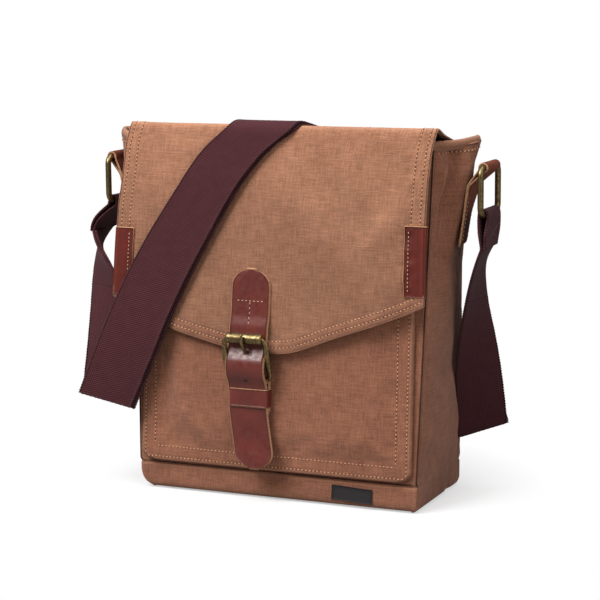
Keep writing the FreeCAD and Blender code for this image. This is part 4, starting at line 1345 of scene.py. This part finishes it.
def buckle_base():
    """Leather base of the buckle, sewn to the pocket and looped round the heel bar."""
    foot, out, half_base, corner, flat = 58.0, 10.4, 14.4, 12.5, 1.9
    rises = np.linspace(foot, HEEL_BAR[0], 46)
    path = FRONT.at(CLOSURE_X, rises, out)
    half = np.full(len(rises), half_base)
    near = rises - foot < corner
    half[near] = flat + np.sqrt(np.maximum(
        corner ** 2 - (corner - (rises[near] - foot)) ** 2, 0.2))
    shape = Shape()
    leather_strip(shape, path, half, 3.4, crown=0.1)
    heel = FRONT.at(CLOSURE_X, *HEEL_BAR)
    for sign in (-1, 1):
        turns = np.linspace(-0.6 * math.pi, 0.75 * math.pi, 24)
        ring = heel + FRONT.up * (np.sin(turns + math.pi / 2) * 2.75)[:, None] \
            - FRONT.normal * (np.cos(turns + math.pi / 2) * 2.75)[:, None]
        xs = np.linspace(2.9, half_base, 12) * sign
        grid = ring[None] + np.array([1.0, 0, 0]) * xs[:, None, None]
        outer = np.cross(np.gradient(grid, axis=0), np.gradient(grid, axis=1))
        if np.sum(outer[5, 12] * (ring[12] - heel)) < 0:
            grid = grid[::-1]
        places = np.stack(np.broadcast_arrays(xs[:, None], turns[None] * 3), -1)
        slab(shape, grid, places, 1.3, 1)
    return shape.build("buckle_base_leather", [LEATHER, RAW_EDGE, RAW_EDGE], "bag",
                       "buckle_chape", "leather")


def keeper():
    """Leather loop round the strap below the buckle."""
    half, foot, bridge = 15.6, 8.6, 17.4
    corners = [(-half, foot), (-half, bridge - 1.5), (-half + 1.5, bridge), (0, bridge + 0.3),
               (half - 1.5, bridge), (half, bridge - 1.5), (half, foot)]
    outline = smooth_path([(x, out, 0) for x, out in corners], 0.7, 0.9)
    rises = np.linspace(71.5, 84.0, 16)
    grid = FRONT.at(CLOSURE_X + 0.6 + outline[:, 0][:, None], rises[None], outline[:, 1][:, None])
    places = np.stack(np.broadcast_arrays(path_lengths(outline)[:, None], rises[None]), -1)
    grid, places = outward_first(grid, places, FRONT.normal)
    shape = Shape()
    slab(shape, grid, places, 1.4, 1)
    return shape.build("keeper_leather", [LEATHER, RAW_EDGE], "bag", "strap_keeper", "leather")


# --- rings ------------------------------------------------------------------------------------

def ring_loop_path(side, corner=5.8):
    half, top, low = 20.0, RING_TOP, RING_LOW
    points = []
    for number, (y_sign, z) in enumerate(((1, low), (1, top), (-1, top), (-1, low))):
        centre_y = y_sign * (half - corner)
        centre_z = z + (corner if z == low else -corner)
        start = (270, 0, 90, 180)[number]
        for step in np.linspace(0, 90, 9):
            angle = math.radians(start + step)
            points.append((side * RING_X, centre_y + math.cos(angle) * corner,
                           centre_z + math.sin(angle) * corner))
    points = np.array(points)
    dense = np.vstack([points, points[:1]])
    lengths = path_lengths(dense)
    places = np.linspace(0, lengths[-1], 140, endpoint=False)
    return np.stack([np.interp(places, lengths, column) for column in dense.T], -1)


def ring(side, name, node, body):
    shape = Shape()
    tube(shape, ring_loop_path(side), 2.25, 16, True, 0, 1.0, (1.0, 0, 0))
    shape.build(name, [BRASS], body, node, "brass")


TAB_TURN = 9.0


def ring_tab(side, name, node):
    """Leather strip, doubled over the top bar of the ring and sewn to the gusset."""
    def skin(height):
        return half_width(height) + gusset_bow(height, 0.0, side) + 1.6

    leather = 1.5
    knee = RING_TOP - 13.0
    inner = [(skin(192.0) + leather, 192.0), (skin(215.0) + leather, 215.0),
             (skin(knee) + leather, knee)]
    loop = []
    radius = RING_WIRE + 0.25 + leather / 2 + leather / 2
    for turn in np.linspace(200, -75, 20):
        angle = math.radians(turn)
        loop.append((RING_X + radius * math.cos(angle), RING_TOP + radius * math.sin(angle)))
    outer = [(skin(knee) + 2 * leather + 0.6, knee - 1.0),
             (skin(215.0) + 2 * leather + 0.3, 215.0), (skin(193.0) + 2 * leather + 0.3, 193.0)]
    path = smooth_path([(side * x, 0, z) for x, z in inner + loop + outer], 0.8, 0.9)
    ys = np.linspace(-14.0, 14.0, 22)
    grid = path[None] + np.array([0, 1.0, 0]) * ys[:, None, None]
    turn = math.tan(math.radians(TAB_TURN)) * ramp(RING_TOP - 6, RING_TOP - 40, path[:, 2])
    grid[..., 0] -= side * turn[None] * ys[:, None] * (1 if side > 0 else 0.3)
    places = np.stack(np.broadcast_arrays(ys[:, None], path_lengths(path)[None]), -1)
    normals = grid_normals(grid)
    top = int(np.argmax(path[:, 2]))
    if normals[10, top][2] < 0:
        grid, places = grid[::-1], places[::-1]
    shape = Shape()
    slab(shape, grid, places, leather, 1)
    side_normal = np.array([side * 1.0, 0, 0.12])
    for y in (-11.0, 11.0):
        zs = np.linspace(195, 228, 30)
        turn = math.tan(math.radians(TAB_TURN)) * ramp(RING_TOP - 6, RING_TOP - 40, zs)
        lift = np.array([skin(z) for z in zs]) + 2 * leather + 0.6
        row = np.stack([side * (lift - turn * y * (1 if side > 0 else 0.3)), y + 0 * zs, zs], -1)
        stitches(shape, row, np.repeat(side_normal[None], 30, 0), 3.0, 2.1, 0.36, 2, 3)
    return shape.build(name, [LEATHER_MATT, RAW_EDGE, THREAD_PALE, HOLE_SHADE], "bag", node, "leather")


# --- shoulder strap ---------------------------------------------------------------------------

def web_layer(shape, left, right, outward, thickness=WEB_THICK, phase=0.0, cuts=()):
    """One layer of webbing between two edge lines, with slanting ribs and a thick selvedge."""
    left, right = np.asarray(left, float), np.asarray(right, float)
    middle = (left + right) / 2
    lengths = path_lengths(middle)
    columns = 33
    width = np.linalg.norm(right - left, axis=1)
    share = np.linspace(0, 1, columns)
    grid = left[None] * (1 - share[:, None, None]) + right[None] * share[:, None, None]
    across = share[:, None] * width[None]
    along = lengths[None] + 0 * across
    normals = grid_normals(grid)
    if np.sum(normals[columns // 2] * outward) < 0:
        normals = -normals
        flip = True
    else:
        flip = False
    ribs = 0.11 * np.sin(2 * math.pi * (along + 0.55 * across + phase) / 1.9)
    selvedge = 0.16 * (bump(0.02, 0.035, share) + bump(0.98, 0.035, share))[:, None]
    grid = grid + normals * (thickness / 2 + ribs + selvedge - 0.1)[..., None]
    edge_wave = 0.3 * np.sin(2 * math.pi * (lengths + phase) / 2.2)
    direction = unit(right - left)
    grid[0] -= direction * edge_wave[:, None]
    grid[-1] += direction * edge_wave[:, None]
    places = np.stack([across, along + phase], -1)
    if flip:
        grid, places = grid[::-1], places[::-1]
    slab(shape, grid, places, thickness, cuts=cuts)


def edge_lines(centres, across, width=WEB):
    """Left and right edge lines of webbing along a centre line."""
    across = unit(across)
    return centres - across * width / 2, centres + across * width / 2


CROWN_END = FLAP_RUN[np.argmax(FLAP_LINE[:, 1] < 31.0)]
# Where the strap lies on the flap: height, x of its left edge and of its right edge.
STRAP_LINE = smooth_path([(280, -30, 22), (275, -37, 17), (266, -48.5, 3), (257, -57.5, -7),
                          (245, -66, -17), (231.5, -74.5, -27), (213, -86.8, -37.8),
                          (194, -99, -48.5), (168, -113.5, -62.5), (138, -128, -77),
                          (110, -139.5, -88.5)], 1.0, 5.0)[::-1]
LAYER_SHIFT = 2.4


def strap_out(run):
    """Height of the middle of the strap over the flap line."""
    return np.interp(run, [0, CROWN_END, FOLD_RUN - 4, FOLD_RUN + 8, run_at_height(235.0),
                           run_at_height(200.0), run_at_height(150.0)],
                     [2.6, 2.3, 2.4, 3.0, 4.8, 4.6, 4.6])


def strap_edges(runs):
    """Left edge of the upper layer of the strap and right edge of the lower one."""
    heights = on_line(runs, FLAP_LINE)[:, 2]
    back = np.clip((FOLD_RUN - runs) / (FOLD_RUN - CROWN_END), 0, None)
    heights = np.where(runs < FOLD_RUN, 277.0, np.minimum(heights, 277.0))
    left = np.interp(heights, STRAP_LINE[:, 0], STRAP_LINE[:, 1])
    right = np.interp(heights, STRAP_LINE[:, 0], STRAP_LINE[:, 2])
    return left + 40.5 * back, right + 33.0 * back


def strap_layers(runs):
    """Edge lines of the two layers of the strap along the flap line, upper layer first."""
    normal = on_line(runs, FLAP_OUT)
    left_x, right_x = strap_edges(runs)
    layers = []
    for offset, left_shift, right_shift in ((1.05, 0.0, -LAYER_SHIFT), (-1.0, LAYER_SHIFT, 0.0)):
        base = on_line(runs, FLAP_LINE) + normal * (strap_out(runs) + offset)[:, None]
        left, right = base.copy(), base.copy()
        left[:, 0], right[:, 0] = left_x + left_shift, right_x + right_shift
        layers.append((left, right))
    return layers, normal


def strap_front():
    """Front run: over the fold, down across the flap, and free below its edge to the turn."""
    runs = np.arange(CROWN_JOIN, run_at_height(118.0), 0.7)
    layers = strap_layers(runs)[0]
    turns = (((-154.0, -66.2, 73.4), (-112.2, -63.0, 64.6)),
             ((-152.6, -63.9, 72.6), (-110.2, -60.9, 63.4)))
    shape = Shape()
    for number, ((left, right), turn) in enumerate(zip(layers, turns)):
        left = smooth_path(np.vstack([left, turn[0]]), 0.7, 5.0)
        right = smooth_path(np.vstack([right, turn[1]]), 0.7, 5.0)
        picks = np.linspace(0, len(right) - 1, len(left))
        right = np.stack([np.interp(picks, np.arange(len(right)), c) for c in right.T], -1)
        web_layer(shape, left, right, np.array([0, -1.0, 0.02]), phase=number * 0.7)
    thing = shape.build("strap_front_webbing", [WEBBING], None, "strap_front_run", "webbing")
    fold_blend(thing)


def strap_crown():
    runs = np.arange(CROWN_END - 9, CROWN_JOIN + 0.35, 0.7)
    layers, normal = strap_layers(runs)
    shape = Shape()
    for number, (left, right) in enumerate(layers):
        web_layer(shape, left, right, normal, phase=number * 0.7)
    hinge_blend(shape.build("strap_crown_webbing", [WEBBING], None, "strap_crown_run",
                            "webbing"))


def with_tail(left, right, tail, step=0.7, blur=3.5):
    """Edge lines lengthened by (left point, right point) pairs and resampled together."""
    left = np.vstack([left] + [pair[0] for pair in tail])
    right = np.vstack([right] + [pair[1] for pair in tail])
    both = np.hstack([(left + right) / 2, right - left])
    lengths = path_lengths(both[:, :3])
    count = max(int(lengths[-1] / step), 8)
    places = np.linspace(0, lengths[-1], count + 1)
    even = np.stack([np.interp(places, lengths, column) for column in both.T], -1)
    reach = int(3 * blur / step)
    kernel = np.exp(-0.5 * (np.arange(-reach, reach + 1) * step / blur) ** 2)
    kernel /= kernel.sum()
    padded = np.vstack([2 * even[0] - even[1:reach + 1][::-1], even,
                        2 * even[-1] - even[-reach - 1:-1][::-1]])
    even = np.stack([np.convolve(column, kernel, "valid") for column in padded.T], -1)
    return even[:, :3] - even[:, 3:] / 2, even[:, :3] + even[:, 3:] / 2


def stations_path(stations, side, step=0.7):
    """Centres and across directions of webbing that hangs and turns, from (x, y, z, turn)."""
    path = smooth_path(stations, step, 6.0)
    angles = np.radians(path[:, 3])
    across = np.stack([side * np.sin(angles), np.cos(angles), 0 * angles], -1)
    return path[:, :3], across


LOOP_FOOT = RING_LOW - 24.0
LEFT_LEAN = 16.5
LEFT_STATIONS = [(-166.5, -1, 191, 8), (-168, -5, 182, 22), (-161.5, -12, 170, 40),
                 (-154, -21, 157, 55), (-143.5, -35, 133, 73), (-137.5, -47, 109, 84),
                 (-135.2, -54, 94, 88), (-134.4, -58, 83, 90)]
RIGHT_STATIONS = [(149, 0, 191, -4), (142.5, 2, 179, -8), (138, 9, 160, 0),
                  (135, 17, 140, 10), (133, 25, 118, 26), (132, 32, 92, 42),
                  (131.5, 38, 68, 54), (131, 42, 56, 60)]


def hanging_run(name, node, side, stations, layers, split=None, tails=None):
    """Webbing hanging from a ring. With a split height, the part above it is an object of its own."""
    centres, across = stations_path(stations, side)
    normal = unit(np.cross(across, np.gradient(centres, axis=0)))
    shapes = [Shape(), Shape()]
    for number, (offset, shift) in enumerate(layers):
        middle = centres + normal * offset + across * shift
        left, right = edge_lines(middle, across)
        if side < 0:
            left, right = right, left
        if tails:
            left, right = with_tail(left, right, tails[number])
        height = (left + right)[:, 2] / 2
        cut = int(np.argmax(height < split))
        outward = unit(np.cross(right - left, np.gradient((left + right) / 2, axis=0)))
        web_layer(shapes[0], left[:cut + 1], right[:cut + 1], outward[:cut + 1],
                  cuts=("column_end",))
        start = path_lengths((left + right) / 2)[cut]
        web_layer(shapes[1], left[cut:], right[cut:], outward[cut:], phase=start,
                  cuts=("column_start",))
    upper = shapes[0].build(name + "_upper", [WEBBING], None, None, "webbing")
    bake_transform(upper)
    return shapes[1].build(name, [WEBBING], "bag", node, "webbing")


def ring_loop(side, gap, lean, name, node, body):
    """Webbing gathered over the lower bar of a ring, with two layers hanging down."""
    radius = RING_WIRE + 0.25 + WEB_THICK / 2
    points = []
    foot = side * RING_X

    def middle(share):
        return foot + side * lean * (1 - share ** 1.7)

    for z in np.linspace(LOOP_FOOT, RING_LOW - 4, 8):
        share = (z - LOOP_FOOT) / 20.0
        points.append((middle(share) - (gap + WEB_THICK) / 2 * (1 - share) - radius * share, 0,
                       z))
    for turn in np.linspace(180, 0, 12):
        angle = math.radians(turn)
        points.append((foot + radius * math.cos(angle), 0, RING_LOW + radius * math.sin(angle)))
    for z in np.linspace(RING_LOW - 4, LOOP_FOOT, 8):
        share = (z - LOOP_FOOT) / 20.0
        points.append((middle(share) + (gap + WEB_THICK) / 2 * (1 - share) + radius * share, 0,
                       z))
    path = smooth_path(points, 0.7, 1.2)
    pinch = ramp(RING_LOW - 16, RING_LOW, path[:, 2])
    half = WEB / 2 - 5.0 * pinch
    turn = math.radians(2.0 if lean else -4.0) * ramp(RING_LOW, LOOP_FOOT, path[:, 2])
    across = np.stack([side * np.sin(turn), np.cos(turn), 0 * turn], -1)
    left, right = path - across * half[:, None], path + across * half[:, None]
    shape = Shape()
    top = int(np.argmax(path[:, 2]))
    normals = unit(np.cross(across, np.gradient(path, axis=0)))
    if normals[top][2] < 0:
        normals = -normals
    web_layer(shape, left, right, normals)
    if not lean:
        for y_line in (-13.0, 13.0):
            rows = np.linspace(LOOP_FOOT + 3, LOOP_FOOT + 16, 14)
            xs = foot + side * (0.2 + 1.8 + (rows - LOOP_FOOT) * 0.10)
            row = np.stack([xs, y_line + 0 * rows, rows], -1)
            stitches(shape, row, np.repeat([[side * 1.0, 0, 0]], 14, 0), 2.6, 1.9, 0.32, 1, 1)
        for sign in (-1, 1):
            share = np.linspace(-1, 1, 24)
            rows = LOOP_FOOT + 9.5 + 6.5 * share
            xs = foot + side * (0.2 + 1.8 + (rows - LOOP_FOOT) * 0.10)
            row = np.stack([xs, sign * share * 13.0, rows], -1)
            stitches(shape, row, np.repeat([[side * 1.0, 0, 0]], 24, 0), 2.6, 1.9, 0.32, 1, 1)
    return shape.build(name, [WEBBING, THREAD_STRAP], body, node, "webbing")


THREAD_STRAP = simple_material("thread_strap", srgb(92, 52, 58), srgb(122, 78, 82), 2.0, 0.7)

BACK_TOP = np.array([29.0, 261.0])
BACK_LOW = np.array([127.5, 54.0])
BACK_ALONG = unit(BACK_LOW - BACK_TOP)
BACK_ACROSS = np.array([-BACK_ALONG[1], BACK_ALONG[0]])
BACK_LENGTH = float(np.linalg.norm(BACK_LOW - BACK_TOP))
SLIDER_AT = (261.0 - 150.0) / abs(BACK_ALONG[1])


def on_back(distance, offset, out):
    distance, offset, out = np.broadcast_arrays(*(np.asarray(v, float)
                                                  for v in (distance, offset, out)))
    flat = BACK_TOP + distance[..., None] * BACK_ALONG + offset[..., None] * BACK_ACROSS
    return BACK.at(flat[..., 0], flat[..., 1], out)


def back_layer(shape, start, end, out, phase=0.0, tail=None):
    distance = np.arange(start, end, 0.7)
    out = out(distance) if callable(out) else out + 0 * distance
    half = (WEB - WEB_THICK) / 2
    left = on_back(distance, half, out)
    right = on_back(distance, -half, out)
    if left[-1][0] > right[-1][0]:
        left, right = right, left
    if tail:
        left, right = with_tail(left, right, tail)
    web_layer(shape, left, right, BACK.normal, phase=phase)


def back_strap():
    def running(distance):
        return 4.1 + 0.7 * bump(SLIDER_AT, 14, distance) - 0.2

    shape = Shape()
    turn = [((114.0, 51.3, 48.0), (147.0, 51.0, 58.0)),
            ((114.6, 48.5, 40.5), (148.0, 54.8, 51.0)),
            ((114.8, 43.5, 38.6), (148.2, 54.5, 49.4))]
    back_layer(shape, -3.0, BACK_LENGTH - 14.0, running, 0.0, turn)
    shape.build("strap_back_webbing", [WEBBING], "bag", "strap_back_run", "webbing")
    shape = Shape()
    back_layer(shape, -3.0, SLIDER_AT - 22.0 - 29.0, 1.6, 0.8)
    shape.build("strap_back_inner_webbing", [WEBBING], "bag", "strap_back_inner", "webbing")
    shape = Shape()
    back_layer(shape, SLIDER_AT - 23.2, SLIDER_AT - 1.2, 1.6, 0.3)
    shape.build("strap_end_webbing", [WEBBING], "slider", "strap_end_loop", "webbing")
    shape = Shape()
    half_span, half_height = 21.6, 10.5
    loop = []
    corner = 3.0
    for number, (a, b) in enumerate(((1, 1), (-1, 1), (-1, -1), (1, -1))):
        for step in np.linspace(0, 90, 7):
            angle = math.radians(number * 90 + step)
            loop.append((a * (half_height - corner) + math.cos(angle) * corner,
                         b * (half_span - corner) + math.sin(angle) * corner))
    loop = np.array(loop + loop[:1])
    lengths = path_lengths(loop)
    places = np.linspace(0, lengths[-1], 110, endpoint=False)
    loop = np.stack([np.interp(places, lengths, column) for column in loop.T], -1)
    dip = 4.0 * bump(0.0, 4.5, loop[:, 0])
    path = on_back(SLIDER_AT + loop[:, 0], loop[:, 1], 6.9 - dip)
    tube(shape, path, 1.45, 12, True, 0, 0.85, BACK.normal)
    bar = on_back(SLIDER_AT + 0 * np.arange(20.0), np.linspace(-21.0, 21.0, 20), 1.8)
    tube(shape, bar, 0.65, 10, False, 0, 1.0, BACK.normal)
    shape.build("slider_brass", [BRASS], "slider", "strap_slider", "brass")


# --- assembly ---------------------------------------------------------------------------------

body_panel("front_panel_cloth", FRONT, "front_panel", 3)
body_panel("back_panel_cloth", BACK, "back_panel", 5)
gusset(-1, "gusset_left_cloth", "gusset_left")
gusset(1, "gusset_right_cloth", "gusset_right")
base_panel()
mouth_hem()
lining()
front_pocket()
side_label()
flap()
flap_stitches()
flap_welt()
corner_tab(-1, "corner_tab_left_leather", "corner_tab_left")
corner_tab(1, "corner_tab_right_leather", "corner_tab_right")
closure_strap()
buckle()
buckle_base()
keeper()
for side, word in ((-1, "left"), (1, "right")):
    ring(side, "ring_" + word + "_brass", "ring_" + word, "ring_" + word)
    ring_tab(side, "ring_tab_" + word + "_leather", "ring_tab_" + word)
ring_loop(-1, 0.3, LEFT_LEAN, "strap_left_loop_webbing", "strap_left_loop", "ring_left")
ring_loop(1, 0.4, 0.0, "strap_right_loop_webbing", "strap_right_loop", "ring_right")
LEFT_TAILS = [[((-153.4, -60.0, 77.4), (-113.6, -58.6, 68.8)),
               ((-153.9, -62.4, 73.6), (-111.4, -60.0, 64.8))],
              [((-153.4, -58.4, 76.4), (-113.6, -57.0, 67.8)),
               ((-153.6, -61.6, 72.2), (-111.2, -59.2, 63.4))]]
hanging_run("strap_left_webbing", "strap_left_run", -1, LEFT_STATIONS,
            ((1.0, 0.0), (-1.0, 0.8)), 150.0, LEFT_TAILS)
RIGHT_TAIL = [[((115.0, 35.0, 41.5), (147.6, 50.3, 52.5)),
               ((114.8, 38.5, 38.6), (148.0, 53.0, 49.6))]]
hanging_run("strap_right_webbing", "strap_right_run", 1, RIGHT_STATIONS, ((0.0, 0.0),),
            150.0, RIGHT_TAIL)
strap_front()
strap_crown()
back_strap()

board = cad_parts["base_board"]
board_object = board if isinstance(board, bpy.types.Object) else bpy.data.objects["base_board"]
board_object.data.materials.clear()
board_object.data.materials.append(board_material())


# --- stage, light and camera ------------------------------------------------------------------

AMBIENT = 0.22


def stage():
    """Pale seamless floor and surround, bright to the camera and dim to the bag, so that the
    light on the bag comes from the lamps."""
    size = 60.0
    mesh = bpy.data.meshes.new("floor")
    mesh.from_pydata([(-size, -size, 0), (size, -size, 0), (size, size, 0), (-size, size, 0)],
                     [], [(0, 1, 2, 3)])
    floor = bpy.data.objects.new("floor", mesh)
    floor.location.z = -0.0004
    bpy.context.scene.collection.objects.link(floor)
    paper = Material("paper", 0.9)
    seen = paper.node("ShaderNodeLightPath").outputs["Is Camera Ray"]
    paper.finish(paper.mix(seen, (0.30, 0.29, 0.28, 1), (0.96, 0.96, 0.96, 1)))
    place = paper.node("ShaderNodeNewGeometry").outputs["Position"]
    away = paper.node("ShaderNodeVectorMath", {0: place}, operation="LENGTH").outputs["Value"]
    glow = paper.node("ShaderNodeEmission", {"Color": (1, 1, 1, 1), "Strength": 1.0})
    fade = paper.maths("MULTIPLY", paper.fit(away, 0.10, 0.19, 0.45, 1.0), seen, True)
    blended = paper.node("ShaderNodeMixShader", {0: fade, 1: paper.shader.outputs[0],
                                                 2: glow.outputs[0]})
    surface = paper.tree.nodes["Material Output"].inputs["Surface"]
    paper.tree.links.new(blended.outputs[0], surface)
    mesh.materials.append(paper.data)
    world = bpy.data.worlds.new("studio")
    bpy.context.scene.world = world
    world.use_nodes = True
    tree = world.node_tree
    path = tree.nodes.new("ShaderNodeLightPath")
    level = tree.nodes.new("ShaderNodeMapRange")
    tree.links.new(path.outputs["Is Camera Ray"], level.inputs["Value"])
    level.inputs["To Min"].default_value = AMBIENT
    level.inputs["To Max"].default_value = 1.0
    backdrop = tree.nodes["Background"]
    backdrop.inputs[0].default_value = (1, 1, 1, 1)
    tree.links.new(level.outputs["Result"], backdrop.inputs[1])


def area_light(name, place, target, size, power):
    data = bpy.data.lights.new(name, "AREA")
    data.size = size
    data.energy = power
    light = bpy.data.objects.new(name, data)
    light.location = place
    direction = np.array(target) - np.array(place)
    light.rotation_euler = Vector(direction).to_track_quat("-Z", "Y").to_euler()
    bpy.context.scene.collection.objects.link(light)


def camera():
    azimuth, elevation, roll = math.radians(23.43), math.radians(9.34), math.radians(-0.49)
    distance = 1.5
    target = Vector((0.00088, 0.0, 0.1431))
    back = Vector((math.sin(azimuth) * math.cos(elevation),
                   -math.cos(azimuth) * math.cos(elevation), math.sin(elevation)))
    right = Vector((math.cos(azimuth), math.sin(azimuth), 0))
    up = back.cross(right)
    tilted_right = right * math.cos(roll) + up * math.sin(roll)
    tilted_up = up * math.cos(roll) - right * math.sin(roll)
    data = bpy.data.cameras.new("camera")
    data.lens = 119.07
    data.sensor_width = 36.0
    thing = bpy.data.objects.new("camera", data)
    turn = Matrix((tilted_right, tilted_up, back)).transposed().to_4x4()
    turn.translation = target + back * distance
    thing.matrix_world = turn
    bpy.context.scene.collection.objects.link(thing)
    bpy.context.scene.camera = thing


stage()
area_light("key", (-0.5, -0.82, 1.12), (0, 0, 0.24), 0.65, 19.0)
area_light("top", (0.1, -0.15, 1.5), (0, 0, 0.1), 1.2, 13.0)
area_light("fill", (1.3, -0.75, 0.75), (0, 0, 0.15), 0.9, 6.0)
camera()
bpy.context.scene.view_settings.view_transform = "Standard"
